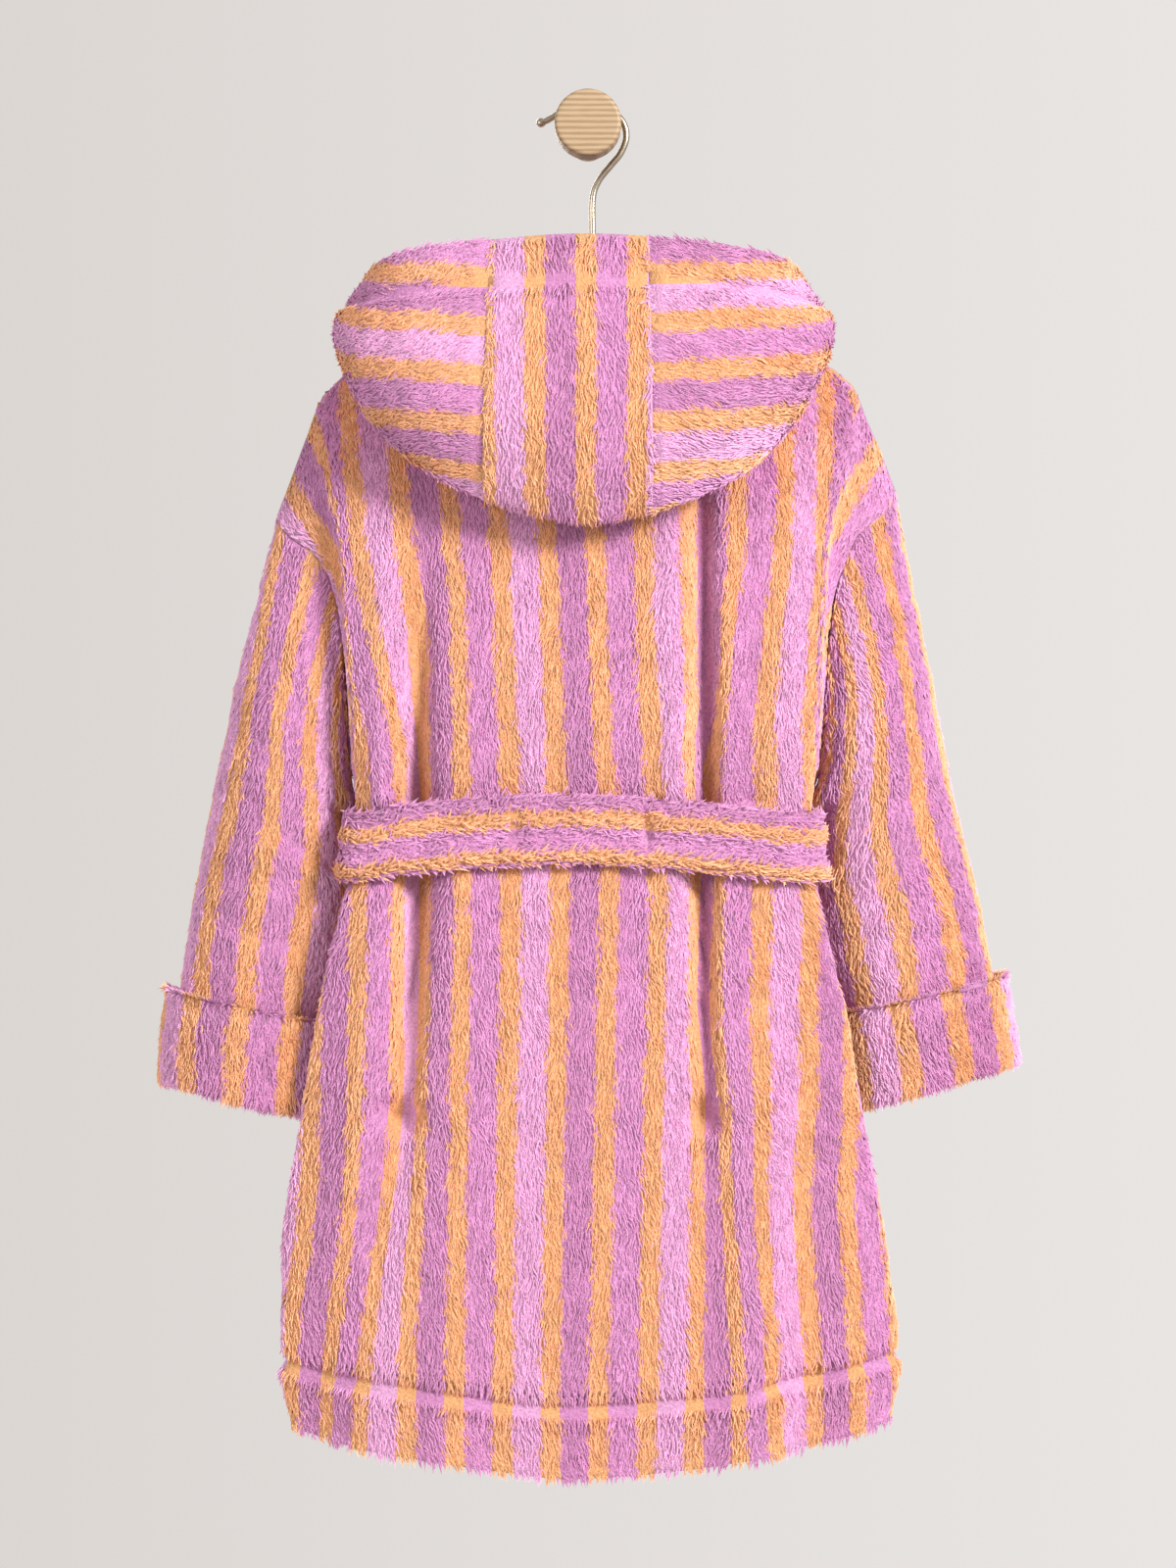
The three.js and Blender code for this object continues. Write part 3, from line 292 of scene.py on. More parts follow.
FRONT_FOLDS = np.array([
    [-96, -240, -92, -405, 13, 2, 9], [92, -250, 88, -405, 13, 2, 8],
    [-90, -462, -104, -700, 15, 9, 3], [94, -462, 108, -720, 15, 8, 3],
    # creases too slight for the panels' main form
    [-50, -300, -44, -405, 9, 0, 2.2], [48, -280, 42, -405, 10, 0, 2.4], [-46, -465, -52, -620, 9, 2.4, 0],
    [54, -465, 60, -600, 9, 2.2, 0], [-128, -560, -134, -800, 13, 1, 3.5], [20, -600, 22, -815, 18, 0, 2.5],
    [130, -600, 134, -800, 14, 1, 3.2],
])


def unit(vectors):
    """The vectors at a length of 1."""
    return vectors / np.maximum(np.linalg.norm(vectors, axis=-1, keepdims=True), 1e-9)


def smooth(t):
    """The smooth step: 3 t squared less 2 t cubed, with t held between 0 and 1."""
    s = np.clip(t, 0, 1)
    return s * s * (3 - 2 * s)


def mix(a, b, t):
    """The share t of the way from a to b."""
    return a + (b - a) * t


def at(values, v):
    """The value at a row number with a fraction: a cubic from row to row whose slope at a row is the
    harmonic mean of the two steps beside it, or 0 where they point opposite ways."""
    step = np.diff(values)
    before, after = step[:-1], step[1:]
    same = before * after > 0
    inner = np.where(same, 2 * before * after / np.where(same, before + after, 1), 0)
    slope = np.concatenate([step[:1], inner, step[-1:]])
    i = np.clip(np.floor(v).astype(int), 0, len(values) - 2)
    t = v - i
    return (values[i] * (2 * t ** 3 - 3 * t ** 2 + 1) + slope[i] * (t ** 3 - 2 * t ** 2 + t)
            + values[i + 1] * (3 * t ** 2 - 2 * t ** 3) + slope[i + 1] * (t ** 3 - t ** 2))


def fold_depth(folds, x, z):
    """How far the folds move a point inwards: the sum over the folds of their depth, from top to bottom
    point, times a bell across their line."""
    fade, total = 18, 0
    for top_x, top_z, end_x, end_z, width, top, end in folds:
        t = np.clip((top_z - z) / (top_z - end_z), 0, 1)
        ends = smooth((top_z + fade - z) / fade) * smooth((z - end_z + fade) / fade)
        total = total + mix(top, end, t) * ends * np.exp(-((x - mix(top_x, end_x, t)) / width) ** 2)
    return total


def side_points(v, side, front):
    """The five points (n, 5, 3) of one side of each level v: edge, foot, ridge, flat and middle."""
    get = {name: at(values, v) for name, values in BODY.items()}
    shape = mix(HEM_SHAPE, SHOULDER_SHAPE, get["follow"][:, None])
    z = get["z"][:, None] + shape * get["drop" + side][:, None]
    edge_x, ridge_x = get["edge" + side], get["ridge" + side]
    edge_y = np.where(v >= UNDERARM, SEAM_Y, get["edgeY"])
    middle_y, side_x, side_y, across, deep, low = get["backY"], ridge_x, get["ridgeY"], 0.45, 0.4, 0
    if front:
        begun = np.minimum(1, v)
        edge_y = SEAM_Y + (SEAM_Y - edge_y) * 0.9
        middle_y, across, deep, low = get["frontY"], 0.5, 0.3, get["throat"]
        forward = np.where(v < 1, 0.34 * v, mix(0.34, 0.72, smooth((v - 1) / 2)))
        side_x = np.sign(edge_x) * np.minimum(abs(edge_x), abs(ridge_x)) * mix(1, 0.985, begun)
        side_y = mix(SEAM_Y, middle_y, forward)
        z[:, 3] -= low * 0.1 * begun
        z[:, 4] -= low
    x = np.stack([edge_x, mix(edge_x, side_x, across), side_x, side_x * get["flat"], 0 * v], 1)
    flat_y = middle_y if front else mix(side_y, middle_y, get["round"])
    y = np.stack([edge_y, mix(edge_y, side_y, deep), side_y, flat_y, middle_y], 1)
    return np.stack([x, y, z], 2)


def body(u, v, front):
    """Points of the back or front at u across (0 left edge, 4 middle, 8 right edge) and level v: the
    curve through both sides' points, moved inwards by the folds."""
    u, v = np.broadcast_arrays(u, v)
    flat_v = np.ravel(v).astype(float)
    left, right = side_points(flat_v, "L", front), side_points(flat_v, "R", front)
    nine = np.concatenate([left, right[:, 3::-1]], axis=1)
    p = through(nine, np.ravel(u).astype(float)[:, None])[:, 0]
    fold = fold_depth(FRONT_FOLDS if front else BACK_FOLDS, p[:, 0], p[:, 2])
    p[:, 1] += (-1 if front else 1) * fold * smooth(abs(p[:, 1] - SEAM_Y) / SEAM_CALM)
    p[:, 1] = np.maximum(p[:, 1], SEAM_Y) if front else np.minimum(p[:, 1], SEAM_Y)
    return p.reshape(*u.shape, 3)


LEVELS = np.linspace(0, 15, 601)
LEVEL_Z = at(BODY["z"], LEVELS)
HEM_ROW = 597  # of LEVELS: the cloth ends this far down, and its pile covers the rest


def level_at(z):
    """The level whose middle lies at height z."""
    return np.interp(-np.asarray(z, float), -LEVEL_Z, LEVELS)


def spread(counts):
    """Evenly spaced values over each stretch between whole numbers, as many as its count says."""
    return np.concatenate([[0.0], *(i + np.arange(1, n + 1) / n for i, n in enumerate(counts))])


# The orange stripes of the back hang nearly upright. At each height: the middle one's place across, and how
# far apart they lie where the cloth is flat. Past the ridges, where it turns away, they look closer.
HANG = np.array([[-170, 1, 29.6], [-300, 6, 28.2], [-450, 13, 29.6], [-640, 9, 29.2], [-790, 6, 28.8]])
TURNED = 0.92
# Each pleat hides cloth between two stripes, or eases it where less than nothing: the stripe on its left,
# counted from the middle one, the mm it hides, and the heights where it begins, is full, opens and ends.
PLEATS = [
    (-7, 7, -710, -790, -900, -901), (-6, 6, -580, -680, -900, -901), (-5, 19, -290, -390, -560, -800),
    (-4, 5, -230, -320, -600, -760), (1, 5, -340, -400, -520, -600), (2, 21, -230, -410, -530, -840),
    (3, -6, -350, -395, -400, -460), (3, 8, -520, -660, -900, -901), (4, 5, 0, -1, -200, -330),
    (4, 4, -560, -660, -900, -901),
]
STRIPES = 7  # on each side of the middle one
PERIOD = 29.5  # of the stripes in flat cloth
ORANGE = 12.0  # width of the orange stripe


def stripe_lines(z):
    """The places across of the stripes' middles at heights z: sums of the gaps to both sides of the
    middle one, each gap less what the pleats hide in it there."""
    middle, gap = (np.interp(-z, -HANG[:, 0], values) for values in HANG.T[1:])
    gaps = np.repeat(gap[..., None], 2 * STRIPES, -1)
    gaps[..., [0, 1, -2, -1]] *= TURNED
    for stripe, hidden, begins, full, opens, ends in PLEATS:
        closed = smooth((begins - z) / (begins - full)) * smooth((z - ends) / (opens - ends))
        gaps[..., stripe + STRIPES] -= hidden * closed
    right = middle[..., None] + np.cumsum(gaps[..., STRIPES:], -1)
    left = middle[..., None] - np.cumsum(gaps[..., STRIPES - 1::-1], -1)[..., ::-1]
    return np.concatenate([left, middle[..., None], right], -1)


def back_stripe(x, z):
    """The stripe number at a place of the back: between the stripes' middles at that height it grows
    evenly, and past the last ones by the flat cloth's period."""
    lines = stripe_lines(z)
    k = np.clip((x[..., None] > lines).sum(-1) - 1, 0, 2 * STRIPES - 1)
    low = np.take_along_axis(lines, k[..., None], -1)[..., 0]
    high = np.take_along_axis(lines, k[..., None] + 1, -1)[..., 0]
    first, last = lines[..., 0], lines[..., -1]
    outside = np.where(x < first, (x - first) / PERIOD, 2 * STRIPES + (x - last) / PERIOD)
    return np.where((x >= first) & (x <= last), k + (x - low) / (high - low), outside) - STRIPES


def run_along(p, axis):
    """The length along a grid's rows (axis 0) or columns (axis 1) from its first line, in mm."""
    step = np.linalg.norm(np.diff(p, axis=axis), axis=-1)
    return np.concatenate([np.zeros_like(np.take(step, [0], axis)), np.cumsum(step, axis)], axis)


def speckle(x, y, cell, seed):
    """Smooth noise from -1 to 1 in the plane: random values at the corners of square cells, blended
    across each cell by the smooth step."""
    table = np.random.default_rng(seed).uniform(-1, 1, (64, 64))
    i, j = np.floor(x / cell).astype(int), np.floor(y / cell).astype(int)
    s, t = smooth(x / cell - i), smooth(y / cell - j)
    near, far = (mix(table[i % 64, (j + b) % 64], table[(i + 1) % 64, (j + b) % 64], s) for b in (0, 1))
    return mix(near, far, t)


def grid_normals(p, ring):
    """The outward unit normals of a grid whose rows go down and whose columns go to the right as seen
    from outside: the cross product of its two central differences. With ring, columns close."""
    wide = np.pad(p, ((0, 0), (1, 1), (0, 0)), "wrap" if ring else "edge")
    tall = np.pad(p, ((1, 1), (0, 0), (0, 0)), "edge")
    return unit(np.cross(tall[2:] - tall[:-2], wide[:, 2:] - wide[:, :-2]))


NAP = 2.0  # the pile's depth over its ground
GROUND = 1.5  # thickness of the knitted ground


def ground_depth(p, ring):
    """How far the ground lies under the pile's surface: NAP, and less within 7 mm of an edge, because the
    pile is shaved off the seams before they are sewn."""
    down, run = run_along(p, 0), run_along(p, 1)
    edge = np.minimum(down, down[-1:] - down)
    if not ring:
        edge = np.minimum(edge, np.minimum(run, run[:, -1:] - run))
    return NAP * np.clip(edge / 7, 0.15, 1)


def shell(name, p, q, material, ring=False):
    """The ground of a piece of fleece: a closed shell GROUND thick, the ground's depth under the pile's
    surface p. q is the stripe number at each point."""
    n = grid_normals(p, ring)
    outer = p - n * ground_depth(p, ring)[..., None]
    inner = outer - n * GROUND
    rows, cols = q.shape
    out = np.arange(rows * cols).reshape(rows, cols)
    if ring:
        out = np.concatenate([out, out[:, :1]], 1)
    inn = out + rows * cols
    down, across = np.meshgrid(np.linspace(0, 1, rows), np.linspace(0, 1, out.shape[1]), indexing="ij")
    sheet = np.s_[:-1, :-1], np.s_[1:, :-1], np.s_[1:, 1:], np.s_[:-1, 1:]
    faces, places = [], []

    def add(corners, u, v):
        faces.append(np.stack([c.ravel() for c in corners], 1))
        places.append(np.stack([np.stack([c.ravel() for c in way], 1) for way in (u, v)], -1))

    def borders(g):
        """The grid's edges, one after the other, each with the sheet on its left."""
        return [g[-1], g[0, ::-1]] + ([] if ring else [g[:, 0], g[::-1, -1]])

    for number, order, left in ((out, sheet, 0.01), (inn, (sheet[0], *sheet[:0:-1]), 0.51)):
        u, v = across * 0.48 + left, down * 0.9
        add([number[s] for s in order], [u[s] for s in order], [v[s] for s in order])
    for k, (o, i) in enumerate(zip(borders(out), borders(inn))):
        t, low = np.linspace(0, 1, len(o)), np.full(len(o) - 1, 0.91 + 0.022 * k)
        high = low + 0.018
        add([o[1:], o[:-1], i[:-1], i[1:]], [t[1:], t[:-1], t[:-1], t[1:]], [low, low, high, high])
    points = np.vstack([outer.reshape(-1, 3), inner.reshape(-1, 3)])
    uv = np.vstack(places).reshape(-1, 2)
    return build(name, points, np.vstack(faces), material, uv, stripe=np.tile(q.ravel(), 2))


LIFTED = 0.12  # share of the locks that stand up from the rest
HUMP = 0.34  # where along a lock its hump is
FACETED = 0.62  # how much of each face's own direction shows in its shading, beside the cloth's


def pile(name, p, q, press, count, material, seed, lay=0.0, length=7.0, width=2.1, rise=1.6, wild=0.2,
         ring=False):
    """The pile of a piece of fleece, as closed locks of four faces. Each lock has two root corners, a hump
    a third of the way along, and a tip. Locks are spread evenly by area over the grid p, lie along its
    rows turned by the angle lay, waver together, lean towards the middle of their own tuft and stand up
    as far as press lets them."""
    rng = np.random.default_rng(seed)
    deep_to = ground_depth(p, ring)
    if ring:
        deep_to = np.concatenate([deep_to, deep_to[:, :1]], 1)
        p, q, press = (np.concatenate([g, g[:, :1]], 1) for g in (p, q, press))
        q = q.copy()
        q[:, -1] = q[:, -2]
    n = grid_normals(p, False)
    if ring:
        n[:, 0] = n[:, -1] = unit(n[:, 0] + n[:, -1])
    one, two = p[1:, :-1] - p[:-1, :-1], p[:-1, 1:] - p[:-1, :-1]
    three, four = p[1:, :-1] - p[1:, 1:], p[:-1, 1:] - p[1:, 1:]
    area = (np.linalg.norm(np.cross(one, two), axis=-1) + np.linalg.norm(np.cross(three, four), axis=-1)) / 2
    total = np.cumsum(area.ravel())
    pick = np.searchsorted(total, (np.arange(count) + rng.random(count)) / count * total[-1])
    i, j = np.divmod(np.minimum(pick, area.size - 1), area.shape[1])
    s, t = rng.random(count), rng.random(count)

    def inside(g):
        s_, t_ = (s[:, None], t[:, None]) if g.ndim == 3 else (s, t)
        return mix(mix(g[i, j], g[i + 1, j], s_), mix(g[i, j + 1], g[i + 1, j + 1], s_), t_)

    root, up, number, stand = inside(p), unit(inside(n)), inside(q), inside(press)
    down = unit(inside(np.gradient(p, axis=0)))
    down = unit(down - up * (down * up).sum(-1, keepdims=True))
    side = np.cross(up, down)
    far, deep = inside(run_along(p, 1)), inside(run_along(p, 0))
    if abs(lay) > 0.8:  # the tufts and their wavering follow the way the pile lies
        far, deep = deep, far

    tuft_wide, tuft_long = width * 2.2, length * 1.3
    odd = np.floor(deep / tuft_long).astype(int)
    cell = np.floor(far / tuft_wide + 0.5 * odd).astype(int)
    centre = np.random.default_rng(seed + 1).uniform(0.25, 0.75, (97, 89))[cell % 97, odd % 89]
    to_centre = (cell - 0.5 * odd + centre) * tuft_wide - far
    tuft_tone = np.random.default_rng(seed + 2).uniform(-1, 1, (97, 89))[cell % 97, odd % 89]

    angle = lay + 0.34 * speckle(far, deep, 9, seed + 3) + 0.2 * speckle(far, deep, 34, seed + 4)
    angle = (angle + wild * rng.normal(0, 1, count))[:, None]
    ahead = down * np.cos(angle) + side * np.sin(angle)
    across = np.cross(up, ahead)
    stand = stand * (0.8 + 0.35 * speckle(far, deep, 6, seed + 5))
    reach = length * rng.uniform(0.7, 1.25, count) * mix(0.6, 1, np.clip(stand, 0, 1))
    half = width * rng.uniform(0.35, 0.6, count)
    curl = np.clip(to_centre, -width, width) * 0.55 + rng.normal(0, 0.3, count)
    lifted = rng.random(count) < LIFTED
    tip_rise = rise * np.where(lifted, rng.uniform(1.0, 1.7, count), rng.uniform(0.15, 0.95, count))
    base = root - up * (inside(deep_to) + 0.3)[:, None]
    half, reach, curl = half[:, None], reach[:, None], curl[:, None]
    hump, top = (rise * (0.5 + 0.55 * stand))[:, None], (0.3 + tip_rise * stand)[:, None]
    corners = np.stack([
        base - across * half,
        base + across * half,
        base + ahead * HUMP * reach + across * 0.3 * curl + up * hump,
        base + ahead * reach + across * curl + up * top,
    ], 1)
    sides = np.array([[0, 3, 2], [1, 2, 3], [0, 2, 1], [0, 1, 3]])
    faces = ((4 * np.arange(count))[:, None, None] + sides).reshape(-1, 3)
    flat = corners.reshape(-1, 3)[faces]
    facing = unit(np.cross(flat[:, 1] - flat[:, 0], flat[:, 2] - flat[:, 0]))
    facing = unit(FACETED * facing + np.repeat(up, 4, axis=0))
    wide = math.ceil(math.sqrt(count))
    home = np.stack([np.arange(count) % wide, np.arange(count) // wide], -1)[:, None]
    spots = (home + np.array([[0.15, 0.1], [0.85, 0.1], [0.5, 0.5], [0.5, 0.9]])) / wide
    number = number + rng.normal(0, 1.1, count) / PERIOD
    tone = 0.55 * rng.uniform(-1, 1, count) + 0.45 * tuft_tone
    return build(
        name, corners.reshape(-1, 3), faces, material, spots.reshape(-1, 2)[faces.ravel()],
        facing, stripe=np.repeat(number, 4), tone=np.repeat(tone, 4),
        tip=np.tile([0.0, 0.0, 0.62, 1.0], count),
    )


PINKS = ("#eba6d8", "#f8bbe6", "#e19ccd")  # the three dye lots of the pink stripes, in their order
APRICOT = "#ffc08c"


def stripe_colour(tree, width):
    """The fleece's colour from the stripe number: apricot within half the stripe's width of a whole
    number, and between two whole numbers the pink of that place in the cycle of three."""
    number = node(tree, "ShaderNodeAttribute", attribute_name="stripe").outputs["Fac"]
    shifted = node(tree, "ShaderNodeMath", {0: number, 1: 0.5}, operation="ADD").outputs[0]
    part = node(tree, "ShaderNodeMath", {0: shifted}, operation="FRACT").outputs[0]
    off = node(tree, "ShaderNodeMath", {0: part, 1: 0.5}, operation="SUBTRACT").outputs[0]
    off = node(tree, "ShaderNodeMath", {0: off}, operation="ABSOLUTE").outputs[0]
    orange = node(tree, "ShaderNodeMath", {0: off, 1: width / 2}, operation="LESS_THAN").outputs[0]
    whole = node(tree, "ShaderNodeMath", {0: number}, operation="FLOOR").outputs[0]
    third = node(tree, "ShaderNodeMath", {0: whole, 1: 3}, operation="DIVIDE").outputs[0]
    third = node(tree, "ShaderNodeMath", {0: third}, operation="FRACT").outputs[0]
    ramp = node(tree, "ShaderNodeValToRGB", {0: third})
    pink = stops(ramp, [(0, PINKS[0]), (0.2, PINKS[1]), (0.5, PINKS[2])], "CONSTANT")
    mixed = node(tree, "ShaderNodeMix", {0: orange, 6: pink, 7: linear(APRICOT)}, data_type="RGBA")
    return mixed.outputs[2]


# Crimped polyester pile: soft, matt, a little translucent. Its roots are painted darker and more saturated
# and its tips paler, as painted shade where the locks shade each other, and each tuft differs a little from
# the next.
def pile_finish(name, width=ORANGE / PERIOD):
    """The material of a piece's pile."""
    made, tree, shader = finish_of(
        name, Roughness=0.85, Specular_IOR_Level=0.2, Sheen_Weight=0.35, Sheen_Roughness=0.45)
    colour = stripe_colour(tree, width)
    tip = node(tree, "ShaderNodeAttribute", attribute_name="tip").outputs["Fac"]
    tone = node(tree, "ShaderNodeAttribute", attribute_name="tone").outputs["Fac"]
    # painted shade and light: each lock's colour goes from 0.55 at its root to 1.17 at its tip
    lit = node(tree, "ShaderNodeMapRange", {0: tip, 3: 0.55, 4: 1.17}).outputs[0]
    lit = node(tree, "ShaderNodeMath", {0: tone, 1: 0.13, 2: lit}, operation="MULTIPLY_ADD").outputs[0]
    place = node(tree, "ShaderNodeTexCoord").outputs["Object"]
    strands = node(tree, "ShaderNodeTexNoise", {"Vector": place, "Scale": 1100, "Detail": 2}).outputs["Fac"]
    shade = node(tree, "ShaderNodeMapRange", {0: strands, 1: 0.32, 2: 0.6, 3: 0.77, 4: 1.08}).outputs[0]
    lit = node(tree, "ShaderNodeMath", {0: lit, 1: shade}, operation="MULTIPLY").outputs[0]
    # painted shade: the roots are more saturated, as shaded cloth looks
    painted_shade_saturation = node(tree, "ShaderNodeMapRange", {0: tip, 3: 1.12, 4: 0.84}).outputs[0]
    final = node(tree, "ShaderNodeHueSaturation", {"Color": colour, "Value": lit, "Saturation": painted_shade_saturation})
    tree.links.new(final.outputs[0], shader.inputs["Base Color"])
    return made


# The knitted ground under the pile, dyed with it and painted darker as painted shade under the pile, with a
# fine plush bump at 1.5 mm.
def ground_finish(name, width=ORANGE / PERIOD):
    """The material of a piece's ground."""
    made, tree, shader = finish_of(
        name, Roughness=0.95, Specular_IOR_Level=0.15, Sheen_Weight=0.3, Sheen_Roughness=0.5)
    colour = stripe_colour(tree, width)
    place = node(tree, "ShaderNodeTexCoord").outputs["Object"]
    grain = node(tree, "ShaderNodeTexNoise", {"Vector": place, "Scale": 640, "Detail": 3}).outputs["Fac"]
    # painted shade: the ground's colour is held at 0.6 to 0.92 of the pile's, as if shaded by the pile over
    # it
    lit = node(tree, "ShaderNodeMapRange", {0: grain, 1: 0.3, 2: 0.7, 3: 0.6, 4: 0.92}).outputs[0]
    final = node(tree, "ShaderNodeHueSaturation", {"Color": colour, "Value": lit, "Saturation": 1.05})
    tree.links.new(final.outputs[0], shader.inputs["Base Color"])
    bump = node(tree, "ShaderNodeBump", {"Height": grain, "Strength": 0.7, "Distance": 0.0015})
    tree.links.new(bump.outputs[0], shader.inputs["Normal"])
    return made


FLEECE_PILE, FLEECE_GROUND = pile_finish("long_pile_fleece"), ground_finish("fleece_ground")


def sewn(ground, piles, cad_node, slot, **sheet):
    """Puts a piece of cloth and its pile in the CAD node's place."""
    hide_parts(cad_node)
    for piece in [ground, *piles]:
        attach(piece, "root")


def groove(distance, width, depth):
    """The depth of a line of stitches at a distance from it: a bell."""
    return depth * np.exp(-(distance / width) ** 2)


def calm(distance, over=4.0, least=0.45):
    """How far the pile may stand up near a seam or stitches: least on them, and all past over mm."""
    return mix(least, 1, smooth(abs(distance) / over))


# Where the wings of the back between the ridge and the armhole have their stripes: a place (x, z) on a
# stripe, that stripe's number, and the way in which the numbers grow. There the cloth hangs askew.
WINGS = {"L": (-172, -177, -6, 0.86, 0.51), "R": (162, -162, 5, 0.86, -0.5)}


def panel_levels(rows):
    """The levels of a panel's rows, evenly spaced in height from the shoulder to just over the hem."""
    return level_at(np.linspace(BODY["z"][0], LEVEL_Z[HEM_ROW], rows))


def back_panel(rows, counts):
    """The back's surface, its stripe numbers and its pile's freedom on a grid of rows by columns."""
    v = panel_levels(rows)
    u = spread(counts)
    p = body(u[None], v[:, None], False)
    q = back_stripe(p[..., 0], p[..., 2])
    run = run_along(p, 1)
    wing_v = 1 - smooth((v[:, None] - 5.4) / 1.4)
    for side, ridge, sign in (("L", 2, -1), ("R", 6, 1)):
        k = np.searchsorted(u, ridge)
        arc = q[:, k:k + 1] + (run - run[:, k:k + 1]) / PERIOD
        x, z, number, along, up = WINGS[side]
        askew = number + ((p[..., 0] - x) * along + (p[..., 2] - z) * up) / PERIOD
        beyond = (u[None] - ridge) * sign
        wing = mix(arc, mix(q, askew, smooth(beyond / 0.5)), wing_v)
        q = np.where(beyond > 0, wing, q)
    down = run_along(p, 0)
    stitch_row = np.argmin(abs(v - HEM_STITCHING))
    from_stitch = down - down[stitch_row:stitch_row + 1] + 2.2 * speckle(run, 0 * run, 40, 4)
    band = smooth((from_stitch - 1) / 9) * 1.8
    pull = groove(from_stitch, 3.2, 3.4 + 1.2 * speckle(run, 0 * run, 11, 8))
    p = p + grid_normals(p, False) * (band - pull + 0.7 * speckle(run, down, 31, 5))[..., None]
    edge = np.minimum(np.minimum(run, run[:, -1:] - run), down)
    return p, q, calm(from_stitch) * calm(edge)


back_ground = shell("back_ground", *back_panel(96, [3, 3, 12, 22, 22, 12, 3, 3])[:2], FLEECE_GROUND)
fine_back = back_panel(300, [8, 8, 34, 60, 60, 34, 8, 8])
SPLIT = 138  # grid row where the upper pile ends and the skirt's begins
upper = [g[:SPLIT + 1] for g in fine_back]
skirt = [g[SPLIT:] for g in fine_back]
back_piles = [
    pile("back_pile_upper", *upper, 41000, FLEECE_PILE, 11),
    pile("back_pile_skirt", *skirt, 49000, FLEECE_PILE, 12),
]
sewn(back_ground, back_piles, "back", "pink_fleece", flat=(0.46, 0.74), area=0.29, rests_on=["hanger_bar"])

# ------------------------------------------------------------------ fronts
# Two panels of the same fleece, the right one lapped 130 mm over the left. They join the back at the
# shoulders and sides, and are cut away at the throat. The right one lies over the left one's edge.

LAP_RAMP_FROM, LAP_RAMP, LAP_CLEARANCE = 118, 40, 0.8
WALL, HEM_WALL = 4, 6.5


def lap_lift(x, v):
    """How far the right front is lifted to clear the left one."""
    wall = mix(WALL, HEM_WALL, smooth(v - HEM_STITCHING))
    return (wall + LAP_CLEARANCE) * smooth((LAP_RAMP_FROM - x) / LAP_RAMP) * smooth(v)


def front_panel(left, rows, counts, across):
    """A front's surface, its stripe numbers and its pile's freedom. Its columns run from the side seam
    to the flat (u = 3), and from there in even steps to the lap's edge."""
    v = panel_levels(rows)
    flat_x = abs(at(BODY["ridgeL"], v)) * at(BODY["flat"], v)
    end = 4 + at(BODY["lap"], v) / flat_x
    side = spread(counts)
    rest = mix(3, end[:, None], np.arange(1, across + 1)[None] / across)
    u = np.concatenate([np.broadcast_to(side, (rows, len(side))), rest], 1)
    p = body(u if left else 8 - u, v[:, None], True)
    if not left:
        p[..., 1] += lap_lift(p[..., 0], v[:, None])
    run, down = run_along(p, 1), run_along(p, 0)
    flat_at = len(side) - 1
    q = (run - run[:, flat_at:flat_at + 1]) / PERIOD - 2.7
    q = q if left else 0.6 - q
    p, q, run, down = (g[:, ::-1] for g in (p, q, run, down)) if left else (p, q, run, down)
    stitch_row = np.argmin(abs(v - HEM_STITCHING))
    from_stitch = down - down[stitch_row:stitch_row + 1]
    shape = smooth((from_stitch - 1) / 10) - groove(from_stitch, 2.6, 2.0)
    shape += 0.7 * speckle(run, down, 29, 6 if left else 7)
    p = p + grid_normals(p, False) * shape[..., None]
    widest = run.max(1, keepdims=True)
    edge = np.minimum(np.minimum(run, widest - run), down)
    return p, q, calm(from_stitch) * calm(edge)


for name, left, slot in (("left", True, "pink_fleece"), ("right", False, "lilac_fleece")):
    ground = shell(f"front_{name}_ground", *front_panel(left, 64, [3, 3, 6], 18)[:2], FLEECE_GROUND)
    surface = front_panel(left, 220, [8, 8, 20], 60)
    tufts = pile(f"front_{name}_pile", *surface, 10500, FLEECE_PILE, 21 + left, length=12, width=4)
    sewn(ground, [tufts], f"front_{name}", slot, flat=(0.25, 0.73), area=0.156, rests_on=["hanger_bar"])

# ------------------------------------------------------------------ sleeves
# Two sleeves set into dropped armholes, each cut in one piece with its seam under the arm, and hanging
# flat with soft rings of slack. Their stripes and nap run down the arm.

SLEEVE_COLUMNS = ("outX", "outZ", "inX", "inZ", "y", "depth")
SLEEVES = {
    "left": np.array([
        [-190, -236, -147, -384, -52, 20], [-207, -302, -151, -400, -51, 33],
        [-222, -366, -152, -428, -49, 36], [-234, -425, -153, -462, -47, 35],
        [-244, -478, -157, -500, -45, 32], [-251, -526, -164, -546, -44, 30],
        [-256, -578, -168, -599, -44, 30],
    ], float),
    "right": np.array([
        [188, -221, 144, -384, -52, 20], [203, -296, 147, -399, -51, 33],
        [217, -366, 147.5, -426, -49, 36], [229, -425, 148, -459, -47, 35],
        [242, -478, 152, -496, -45, 32], [249, -518, 158, -540, -44, 30], [257, -566, 162, -595, -44, 30],
    ], float),
}
SLEEVE_SETTLES = 1.6
# How far the sleeve's inner side leans on the body and the belt: level, left and right.
LEAN = np.array([
    [0, 0, 0], [0.5, 5.5, 5], [1.0, 8, 7.5], [1.4, 11, 12], [1.56, 9, 12], [1.7, 3, 5], [2.75, 1.5, 3.5],
    [2.95, 7.5, 9], [3.6, 9, 10], [4.4, 9, 9], [5, 0, 0], [6, 0, 0],
])
ARMHOLE_LEVELS = np.array([0, 1, 2, 3, 4, 4.5, 5, 6, 7])
